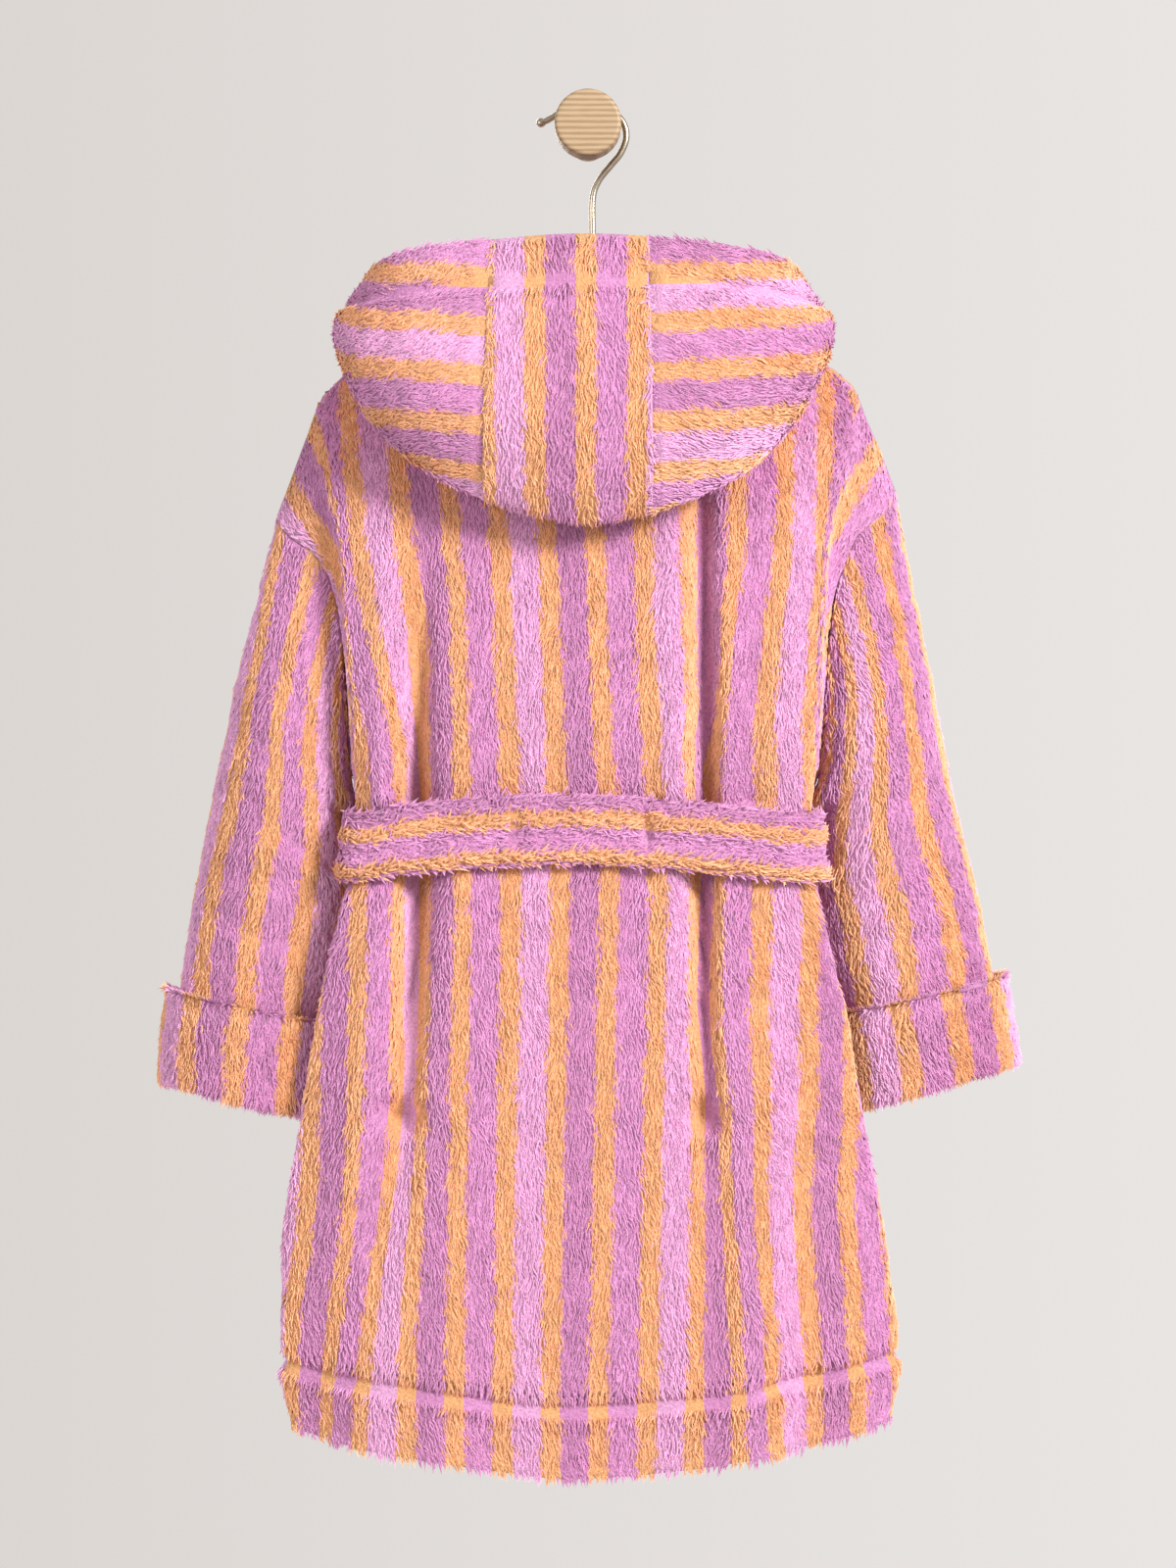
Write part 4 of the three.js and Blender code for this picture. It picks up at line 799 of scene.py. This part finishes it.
# Drag lines of a hanging sleeve: level, place round it (0 outermost, 0.5 innermost), depth, how much
# they slope, and half width in levels.
SLACK = {
    "left": [(1.1, 0.30, 2.6, 1.2, 0.16), (1.9, 0.16, 2.0, -0.9, 0.14), (2.7, 0.34, 3.0, 0.8, 0.15),
             (3.4, 0.2, 2.2, -1.1, 0.13), (4.1, 0.3, 2.8, 0.7, 0.13), (2.2, 0.72, 2.6, 1.0, 0.16),
             (3.7, 0.66, 2.4, -0.8, 0.15)],
    "right": [(0.9, 0.28, 2.8, -1.0, 0.15), (1.7, 0.36, 2.2, 1.1, 0.15), (2.5, 0.18, 2.6, -0.7, 0.14),
              (3.3, 0.32, 3.0, 0.9, 0.15), (4.2, 0.24, 2.4, -0.9, 0.13), (2.0, 0.7, 2.4, -1.0, 0.16),
              (3.5, 0.64, 2.6, 0.9, 0.15)],
}
# How far from the outer edge, as seen from behind, an orange stripe lies on the sleeve and on its cuff.
FIRST_STRIPE = {"left": (45, 51), "right": (25, 38)}
SLEEVE_PERIOD, CUFF_PERIOD = 31, 33  # of their stripes, eased round the arm


def ellipse(rows, v, turn):
    """A ring at level v: from the outermost point (turn 0) over the back to the innermost (turn half)."""
    get = dict(zip(SLEEVE_COLUMNS, (at(column, v)[:, None] for column in rows.T)))
    cos, sin = np.cos(2 * np.pi * turn), np.sin(2 * np.pi * turn)
    x = mix(get["inX"], get["outX"], (1 + cos) / 2)
    z = mix(get["inZ"], get["outZ"], (1 + cos) / 2)
    return np.stack([x, get["y"] - get["depth"] * sin, z], -1)


def sleeve_points(side, v, turn):
    """The sleeve's rings: ellipses that take over the armhole's own outline towards the shoulder."""
    k = 16 * (turn % 1)
    level = np.interp(np.where(k <= 8, k, 16 - k), np.arange(9), ARMHOLE_LEVELS)
    u = np.full_like(level, 0 if side == "left" else 8)
    start = np.where((k <= 8)[:, None], body(u, level, False), body(u, level, True))
    rows = SLEEVES[side]
    settle = np.maximum(0, 1 - v / SLEEVE_SETTLES)[:, None, None] ** 2
    p = ellipse(rows, v, turn) + settle * (start - ellipse(rows, np.array([0.0]), turn)[0])[None]
    lean = np.interp(v, LEAN[:, 0], LEAN[:, 1] if side == "left" else -LEAN[:, 2])
    p[..., 0] += lean[:, None] * np.exp(-((turn[None] - 0.5) / 0.13) ** 2)
    for level, place, depth, slope, width in SLACK[side]:
        away = v[:, None] - level - slope * (turn[None] - place)
        near = 0.7 * np.exp(-(away / (1.4 * width)) ** 2) * np.exp(-((turn[None] - place) / 0.17) ** 2)
        p = p + unit(p.mean(1, keepdims=True) - p) * (depth * near)[..., None]
    return p


def ring_stripe(p, turn, offset, period):
    """The stripe number round each ring of a sleeve: the length from the place that lies offset inside
    the outer edge, over the period. It jumps at the seam under the arm."""
    closed = np.concatenate([p, p[:, :1]], 1)
    run = run_along(closed, 1)
    whole = run[:, -1:]
    run = run[:, :-1]
    inner = np.argmin(abs(turn - 0.5))
    span = np.linalg.norm(p[:, 0] - p[:, inner], axis=-1)
    home = np.arccos(np.clip(1 - 2 * offset / span, -1, 1)) / (2 * np.pi)
    start = np.array([np.interp(h, turn, r) for h, r in zip(home, run)])[:, None]
    signed = np.where(turn[None] > 0.5, run - whole, run)
    return (signed - start) / period


def outwards(p, *others):
    """Turns a ring grid's columns round if its normals point to its own middle line."""
    if (grid_normals(p, True) * (p - p.mean(1, keepdims=True))).sum() < 0:
        return [g[:, ::-1] for g in (p, *others)]
    return [p, *others]


def sleeve_surface(side, rows, sides, top, bottom):
    """A sleeve's surface, stripe numbers and pile's freedom between two levels."""
    v, turn = np.linspace(top, bottom, rows), np.arange(sides) / sides
    p = sleeve_points(side, v, turn)
    p, q, down = outwards(p, ring_stripe(p, turn, FIRST_STRIPE[side][0], SLEEVE_PERIOD), run_along(p, 0))
    ripple = 0.7 * speckle(run_along(p, 1), down, 27, 8)
    return p + grid_normals(p, True) * ripple[..., None], q, calm(down, 6, 0.3)


for side in ("left", "right"):
    cloth = sleeve_surface(side, 44, 38, 0, 6)[:2]
    ground = shell(f"sleeve_{side}_ground", *cloth, FLEECE_GROUND, ring=True)
    surface = sleeve_surface(side, 150, 96, 0, 5.06)
    tufts = pile(f"sleeve_{side}_pile", *surface, 17000, FLEECE_PILE, 31 + (side == "left"), ring=True)
    sewn(ground, [tufts], f"sleeve_{side}", "lilac_fleece", flat=(0.25, 0.36), area=0.069,
         rests_on=["back_ground"])

# ------------------------------------------------------------------ cuffs
# Each sleeve's end is turned back once on itself as a deep cuff. It stands off the sleeve by the slack of
# two layers of pile, and its free edge is hemmed inwards.

# Share of the turned-back length, how far it stands off the sleeve, and how far past its end it lies.
CUFF = np.array([
    [0.02, 4.6, 0.6], [0, 7.4, -0.8], [0.04, 8.6, 0], [0.4, 9.3, 0], [0.7, 8.9, 0.2], [0.94, 8, 5.1],
    [1, 4, 5.6], [1, -1, 5.4], [1, -3.6, 4.4],
])
CUFF_TOP = 5


def cuff_surface(side, rows, sides):
    """A cuff's surface: the sleeve's own rings moved out along their normals and down past the end."""
    t, turn = np.linspace(0, len(CUFF) - 1, rows), np.arange(sides) / sides
    share, off, past = (at(column, t) for column in CUFF.T)
    under = sleeve_points(side, CUFF_TOP + np.clip(share, 0, 1), turn)
    fine = sleeve_points(side, np.linspace(CUFF_TOP, 6, 13), turn)
    n = grid_normals(fine, True)
    outward = np.sign((n[6] * (fine[6] - fine[6].mean(0))).sum())
    row = share * 12
    low = np.clip(np.floor(row).astype(int), 0, 11)
    n = unit(outward * mix(n[low], n[low + 1], np.clip(row - low, 0, 1)[:, None, None]))
    p = under + n * off[:, None, None] + unit(fine[-1] - fine[-5])[None] * past[:, None, None]
    q = ring_stripe(p, turn, FIRST_STRIPE[side][1], CUFF_PERIOD)
    if outward < 0:
        p, q = p[:, ::-1], q[:, ::-1]
    length = run_along(p, 0)
    puff = 0.9 * speckle(run_along(p, 1), length, 22, 9 if side == "left" else 10)
    return p + grid_normals(p, True) * puff[..., None], q, mix(0.2, 1, smooth((length - 6) / 10))


for side in ("left", "right"):
    ground = shell(f"cuff_{side}_ground", *cuff_surface(side, 40, 48)[:2], FLEECE_GROUND, ring=True)
    surface = cuff_surface(side, 110, 120)
    tufts = pile(f"cuff_{side}_pile", *surface, 7500, FLEECE_PILE, 41 + (side == "left"), ring=True, rise=1.9)
    sewn(ground, [tufts], f"cuff_{side}", "orange_fleece", flat=(0.24, 0.08),
         rests_on=[f"sleeve_{side}_ground"])

# ------------------------------------------------------------------ hood
# The hood is sewn from three panels: a centre panel from the nape to the face edge with upright stripes,
# and two side panels with their stripes across. Its face edge is turned in and stitched, and puckers.

# The share of the way round the neck, then x, y and z of its stand, under layer, lowest fold, belly and rim.
HOOD_SIDE = np.array([
    [0, 0, -80, -107, 0, -104, -165, 0, -124, -246, 0, -152, -188, 0, -134, -74],
    [0.2, 38, -77, -106, 62, -102, -152, 84, -121, -221, 86, -149, -172, 80, -131, -80],
    [0.36, 63, -64, -98, 98, -88, -128, 128, -108, -180, 138, -126, -142, 118, -118, -86],
    [0.5, 64, -52, -97, 96, -65, -105, 141, -92, -138, 150, -102, -123, 128, -99, -91],
    [0.58, 54, -41, -104, 80, -48, -98, 112, -64, -104, 124, -72, -103, 132, -78, -96],
    [0.66, 42, -33, -112, 60, -33, -102, 82, -40, -97, 94, -45, -94, 102, -49, -92],
    [0.75, 29, -25, -126, 37, -21, -116, 46, -20, -108, 52, -20, -103, 58, -20, -98],
    [1, 5, -10, -159, 6, -8, -151, 7, -7, -143, 8, -7, -136, 9, -7, -129],
])
HOOD_LEFT_REACH, HOOD_RIGHT_REACH = 1.02, 0.985
HOOD_SEAM_U = 6 / 11  # of the back's neckline, from its middle to a seam of the centre panel
HOOD_SEAM_AT = {"left": 0.133, "right": 0.084}
FACE_HEM = 26  # depth of the turned-in face edge
HOOD_PERIOD = 30.3  # of its stripes, eased over the fold
HOOD_HEART = np.array([0, -95, -140])  # a point inside the hanging hood


def mirrored(rows, reach):
    """The hood's stations on one side: X times its reach, and the station negative on the left."""
    sides = rows.copy()
    sides[:, 1::3] *= reach
    sides[:, 0] *= np.sign(reach)
    return sides


HOOD = np.vstack([mirrored(HOOD_SIDE[:0:-1], -HOOD_LEFT_REACH), mirrored(HOOD_SIDE, HOOD_RIGHT_REACH)])
# The neckline, from the left front's edge over the shoulders and the back to the right front's edge.
neck_end = 4 - 4 / (150 * 0.413)
neck_u = np.concatenate([
    np.linspace(neck_end, 3, 120), np.linspace(3, 5, 240)[1:], np.linspace(5, 8 - neck_end, 120)[1:]])
on_front = np.arange(len(neck_u))
on_front = (on_front < 119) | (on_front > 358)
top = np.zeros_like(neck_u)
neckline = np.where(on_front[:, None], body(neck_u, top, True), body(neck_u, top, False))
neck_run = run_along(neckline, 0)
neck_run -= neck_run[np.argmin(abs(neck_u - 4) + 9 * on_front)]
stations = neck_run / neck_run[-1]
SEAM_STATION = {"left": -np.interp(4 - HOOD_SEAM_U, neck_u[119:359], stations[119:359]),
                "right": np.interp(4 + HOOD_SEAM_U, neck_u[119:359], stations[119:359])}


def hood_points(own, r):
    """The hood at stations own and rings r: at each station the curve through its neck seam, stand,
    under layer, lowest fold, belly and rim, with the stations drawn towards the centre panel's seams."""
    right = own >= 0
    seam = np.where(right, SEAM_STATION["right"], SEAM_STATION["left"])
    target = np.where(right, HOOD_SEAM_AT["right"], HOOD_SEAM_AT["left"])
    size = abs(own)
    hat = np.where(size < seam, size / seam, (1 - size) / (1 - seam))
    shift = ((target - seam) * hat)[None] * smooth(r / 2)[:, None]
    station = (size[None] + shift) * np.where(right, 1, -1)[None]
    row = np.interp(station, HOOD[:, 0], np.arange(len(HOOD)))
    seam_points = np.stack([np.interp(own, stations, neckline[:, k]) for k in range(3)], -1)
    knots = [np.broadcast_to(seam_points, (len(r), len(own), 3))]
    for first in range(1, 16, 3):
        knots.append(np.stack([at(HOOD[:, first + k], row) for k in range(3)], -1))
    knots = np.stack(knots, 2).reshape(-1, 6, 3)
    return through(knots, np.repeat(r, len(own))[:, None])[:, 0].reshape(len(r), len(own), 3)


def hood_panel(name, rows, columns, first_ring=0.0):
    """A panel's surface, stripe numbers and pile's freedom, from the neck seam (or a later ring) to the
    face edge. The centre panel's stripes run with its length, the side panels' across."""
    low = {"left": stations[0], "centre": -SEAM_STATION["left"], "right": SEAM_STATION["right"]}[name]
    high = {"left": -SEAM_STATION["left"], "centre": SEAM_STATION["right"], "right": stations[-1]}[name]
    own = np.linspace(low, high, columns)
    r = np.linspace(first_ring, 5, rows)
    p = hood_points(own, r)
    across, up = run_along(p, 1), run_along(p, 0)
    from_rim = up[-1:] - up
    if name == "centre":
        middle = np.array([np.interp(0, x, run) for x, run in zip(p[..., 0], across)])[:, None]
        q = (across - middle + 1.2) / HOOD_PERIOD
    else:
        sway = abs(own)[None] - abs(low if name == "right" else high)
        start = mix(23, 2.5, np.clip(sway / 0.35, 0, 1))
        q = -(from_rim - start) / HOOD_PERIOD + (0.0 if name == "left" else 2.0)
    if (grid_normals(p, False)[rows // 2:] * (p[rows // 2:] - HOOD_HEART)).sum() < 0:
        p, q, across, from_rim = (g[:, ::-1] for g in (p, q, across, from_rim))
    x = p[..., 0]
    pucker = np.sin(x / 2.9 + 2 * speckle(across, up, 18, 3))
    pucker *= groove(from_rim - FACE_HEM, 12, 1.3) * groove(x, 46, 1)
    shape = pucker - groove(from_rim - FACE_HEM, 2.8, 2.2) + 0.9 * speckle(across, up, 33, 14)
    p = p + grid_normals(p, False) * shape[..., None]
    side = np.minimum(across, across.max(1, keepdims=True) - across)
    return p, q, calm(from_rim - FACE_HEM) * calm(side, 3.5, 0.35)


HOOD_CUTS = {"left": (0.22, 0.24, 0.038), "centre": (0.1, 0.31, 0.031), "right": (0.22, 0.25, 0.044)}
for name, slot, columns, locks, lay in (
        ("left", "lilac_fleece", 38, 13000, -1.25), ("centre", "orange_fleece", 13, 6500, math.pi),
        ("right", "lilac_fleece", 38, 13000, 1.25)):
    width, height, area = HOOD_CUTS[name]
    ground = shell(f"hood_{name}_ground", *hood_panel(name, 56, columns)[:2], FLEECE_GROUND)
    surface = hood_panel(name, 190, columns * 3)
    tufts = pile(
        f"hood_{name}_pile", *surface, locks, FLEECE_PILE, 51 + columns + (name == "left"), lay=lay, rise=1.5)
    sewn(ground, [tufts], f"hood_{name}", slot, flat=(width, height), area=area, rests_on=["back_ground"])

# ------------------------------------------------------------------ belt
# A flat tube of the same fleece with its stripes along it, tacked to the middle of the back with two
# short upright rows of stitches, and tied in one knot over the fronts, where its two ends hang.

BELT_WIDTH, BELT_THICKNESS, BELT_CLEARANCE = 45, 10, 0.8
BELT_TACK_X, BELT_TACK_Z, BELT_SAG, BELT_SIDE_Z, KNOT_Z = -15, -427, 13, -438, -441
BELT_STITCHES = (-46, 34)  # x of the two rows of tacking stitches
BELT_PERIOD = 26.5  # of its stripes across its width, where it is full
BELT_PILE, BELT_GROUND = pile_finish("long_pile_fleece_belt", 0.42), ground_finish("fleece_ground_belt", 0.42)
PROFILE_HEIGHT = np.array([-1, -0.8, 0, 0.8, 1])
PROFILE_OUTER, PROFILE_INNER = np.array([0.5, 0.9, 1, 0.9, 0.5]), np.array([0.22, 0.02, 0, 0.02, 0.22])


def belt_height(x, front):
    """The height of the belt's middle: highest at its tack, sagging to the sides, and to the knot."""
    off = abs(x)
    sag = BELT_SAG * np.minimum(1, abs(x - BELT_TACK_X) / 150) ** 1.6
    behind = mix(BELT_TACK_Z - sag, BELT_SIDE_Z, smooth((off - 110) / 30))
    return np.where(front, mix(BELT_SIDE_Z, KNOT_Z, smooth((120 - off) / 60)), behind)


def belt_seat(u, front, share):
    """A point under the belt: on the body's ridges at that height, and straight over its troughs."""
    x = np.where(front, body(u, WAIST, True)[..., 0], body(u, WAIST, False)[..., 0])
    level = level_at(belt_height(x, front) + share * BELT_WIDTH / 2)
    p = np.where(front[..., None], body(u, level, True), body(u, level, False))
    trough = np.maximum(0, np.where(
        front, fold_depth(FRONT_FOLDS, p[..., 0], p[..., 2]), fold_depth(BACK_FOLDS, p[..., 0], p[..., 2])))
    lift = lap_lift(p[..., 0], np.full(p.shape[:-1], WAIST)) * smooth((p[..., 0] + 100) / 34)
    p[..., 1] += np.where(front, trough + lift, -trough)
    return p


def belt_surface(along, around):
    """The belt's surface as rings round its section, from the knot round the back to the knot again."""
    end, flat_u = 4 - 0.24, 1.5
    lead = np.linspace(end, flat_u, along // 4)
    u = np.concatenate([lead, np.linspace(0.15, 7.85, along), 8 - lead[::-1]])
    front = np.arange(len(u))
    front = (front < len(lead)) | (front >= len(lead) + along)
    turn = np.linspace(0, 1, around, endpoint=False)
    height = np.cos(2 * np.pi * turn)
    height = np.sign(height) * (1 - (1 - abs(height)) ** 1.4)
    is_outer = turn < 0.5
    u_grid, front_grid, shares = np.broadcast_arrays(u[:, None], front[:, None], height[None])
    seat = belt_seat(u_grid, front_grid, shares)
    order = np.linspace(1, -1, 9)[:, None]
    n = grid_normals(belt_seat(*np.broadcast_arrays(u[None], front[None], order)), False)
    row = (1 - height) * 4
    low = np.clip(np.floor(row).astype(int), 0, 7)
    n = unit(mix(n[low], n[low + 1], (row - low)[:, None, None]).transpose(1, 0, 2))
    stand = np.where(is_outer, np.interp(height, PROFILE_HEIGHT, PROFILE_OUTER),
                     np.interp(height, PROFILE_HEIGHT, PROFILE_INNER))
    x, run = seat[..., 0], run_along(seat, 0)
    puff = 1 + 0.1 * speckle(run, height[None] * 20, 26, 15)
    tack = sum(groove(x - at_x, 3.4, 1) for at_x in BELT_STITCHES)
    tack = tack * ~front_grid * smooth((0.62 - abs(height)) / 0.2)
    rib = 0.09 * np.cos(np.pi * (height - 0.28) / 0.5) * smooth((1 - abs(height)) * 3)
    full = np.where(is_outer, puff - 0.42 * tack + rib - 0.04, 1)
    off = BELT_CLEARANCE + BELT_THICKNESS * stand * full
    p = seat + n * off[..., None]
    q = (1 - height[None]) * BELT_WIDTH / 2
    q = np.broadcast_to((np.where(is_outer[None], q, -q) - 15.5) / BELT_PERIOD, u_grid.shape)
    freedom = mix(1, 0.3, np.clip(tack, 0, 1))
    return p, q, np.where(is_outer[None], freedom, 0.35)


belt_ground = shell("belt_ground", *outwards(*belt_surface(110, 30))[:2], BELT_GROUND, ring=True)
belt_pile = pile("belt_pile", *outwards(*belt_surface(330, 64)), 12500, BELT_PILE, 61, lay=0.3,
                 length=7.5, width=2.9, rise=2.2, wild=0.42, ring=True)
sewn(belt_ground, [belt_pile], "belt", "orange_fleece", flat=(0.095, 0.66), rests_on=["back_ground"])


def knot_surface(rows, sides):
    """The knot: an ellipsoid with a flat back and two slanting creases where the belt wraps round."""
    lat, turn = np.linspace(0.06, np.pi - 0.06, rows)[:, None], 2 * np.pi * np.arange(sides)[None] / sides
    x, y, z = np.sin(lat) * np.cos(turn), np.sin(lat) * np.sin(turn), np.cos(lat) + 0 * turn
    crease = sum(np.exp(-((z + slope * x + off) / 0.13) ** 2) for slope, off in ((0.5, 0.42), (0.5, -0.42)))
    size = 1 - 0.09 * crease
    p = np.stack([19.5 * x * size, -12.8 + 9.2 * y * size, KNOT_Z + 23 * z * size], -1)
    q = 1.4 * (z + 0.5 * x) + 0.4
    return outwards(p, q, np.ones_like(q))


knot_ground = shell("belt_knot_ground", *knot_surface(26, 36)[:2], BELT_GROUND, ring=True)
knot_pile = pile("belt_knot_pile", *knot_surface(60, 80), 1500, BELT_PILE, 62, length=8, width=3, rise=2,
                 wild=0.4, ring=True)
sewn(knot_ground, [knot_pile], "belt_knot", "pink_fleece", flat=(0.06, 0.05), area=0.0027,
     rests_on=["front_right_ground"])

TAILS = {
    "left": np.array([[-466, -9, 7, 8], [-500, -18, 17, 7], [-560, -24, 21, 6.5], [-688, -30, 22, 6]], float),
    "right": np.array([[-466, 9, 7, 8], [-500, 18, 17, 7], [-560, 25, 21, 6.5], [-664, 32, 22, 6]], float),
}


def tail_surface(side, rows, sides):
    """A hanging end of the belt: flat oval rings on the right front, narrow at the knot and closed by a
    seam at the end."""
    t, turn = np.linspace(0, 3, rows), np.arange(sides) / sides
    z, x, half, thick = (at(column, t)[:, None] for column in TAILS[side].T)
    cos, sin = np.cos(2 * np.pi * turn)[None], np.sin(2 * np.pi * turn)[None]
    across = np.sign(cos) * abs(cos) ** 0.8
    level = level_at(z[:, 0])
    flat_x = abs(at(BODY["ridgeL"], level)) * at(BODY["flat"], level)
    middle = x + across * half
    seat = body(4 + middle / flat_x[:, None], np.broadcast_to(level[:, None], middle.shape), True)
    wall = mix(WALL, HEM_WALL, smooth(level - HEM_STITCHING))[:, None]
    close = np.sqrt(np.clip((3 - t) / 0.12, 0, 1))[:, None]
    swell = 1 + 0.94 * sin * close * (1 - 0.3 * across ** 4)
    lift = wall + LAP_CLEARANCE + BELT_CLEARANCE + thick / 2 * swell
    p = seat + np.stack([0 * lift, lift, 0 * lift], -1)
    q = middle / 12 + 0.3
    return outwards(p, q, np.ones_like(q))


TAIL_CUTS = {"left": (0.07, 0.225), "right": (0.067, 0.2)}  # width all round and length
for side in ("left", "right"):
    ground = shell(f"belt_tail_{side}_ground", *tail_surface(side, 44, 24)[:2], BELT_GROUND, ring=True)
    tufts = pile(f"belt_tail_{side}_pile", *tail_surface(side, 110, 60), 3200, BELT_PILE,
                 63 + (side == "left"), length=9, width=3, wild=0.3, ring=True)
    sewn(ground, [tufts], f"belt_tail_{side}", "lilac_fleece", flat=TAIL_CUTS[side],
         rests_on=["front_right_ground"])

# ------------------------------------------------------------------ floor, light and camera
# A plain pale floor well under the hem, a pale room whose backdrop is painted darker on the left and paler on
# the right as painted light, a large soft lamp on the right and weaker ones elsewhere.

floor_paint, tree, shader = finish_of("matt_floor_paint", Base_Color=linear("#e2dcd8"), Roughness=0.8)
turn = np.linspace(0, 2 * np.pi, 64, endpoint=False)
FLOOR_RADIUS, FLOOR_Z = 780, -1060
disc = np.stack([FLOOR_RADIUS * np.cos(turn), FLOOR_RADIUS * np.sin(turn), np.full(64, FLOOR_Z)], 1)
floor = build("floor", disc, np.arange(64)[None], floor_paint)

world = bpy.data.worlds.new("pale_room")
bpy.context.scene.world = world
world.use_nodes = True
tree = world.node_tree
sky = tree.nodes["Background"]
seen = node(tree, "ShaderNodeLightPath").outputs["Is Camera Ray"]
way = node(tree, "ShaderNodeSeparateXYZ", {0: node(tree, "ShaderNodeTexCoord").outputs["Generated"]}).outputs
side_way = node(tree, "ShaderNodeMapRange", {0: way["X"], 1: -0.14, 2: 0.14}).outputs[0]
# painted light: the backdrop goes from darker on the left to paler on the right, as light falls across a wall
backdrop_light_gradient = stops(node(tree, "ShaderNodeValToRGB", {0: side_way}), [(0, "#dbd6d2"), (1, "#e9e5e3")])
tree.links.new(backdrop_light_gradient, sky.inputs["Color"])
strength = node(tree, "ShaderNodeMapRange", {0: seen, 3: 0.64, 4: 1.0})  # less light than is seen
tree.links.new(strength.outputs[0], sky.inputs["Strength"])

for name, place, size, watts in (
        ("key", (1.8, -2.0, 0.7), 0.8, 90), ("fill", (-1.9, -1.8, 0.1), 1.4, 17),
        ("behind", (-0.6, 2.2, 0.6), 1.6, 30)):
    lamp = bpy.data.lights.new(name, "AREA")
    lamp.shape, lamp.size, lamp.energy = "DISK", size, watts
    light = bpy.data.objects.new(name, lamp)
    light.location = place
    light.rotation_euler = (Vector((0, 0, -0.4)) - Vector(place)).to_track_quat("-Z", "Y").to_euler()
    bpy.context.scene.collection.objects.link(light)

lens = bpy.data.cameras.new("camera")
lens.sensor_fit, lens.sensor_height, lens.lens = "VERTICAL", 24, 65.06
camera = bpy.data.objects.new("camera", lens)
camera.location = (0, -2.65, -0.4)
camera.rotation_euler = (math.pi / 2, 0, 0)
bpy.context.scene.collection.objects.link(camera)
bpy.context.scene.camera = camera
bpy.context.scene.view_settings.view_transform = "Standard"
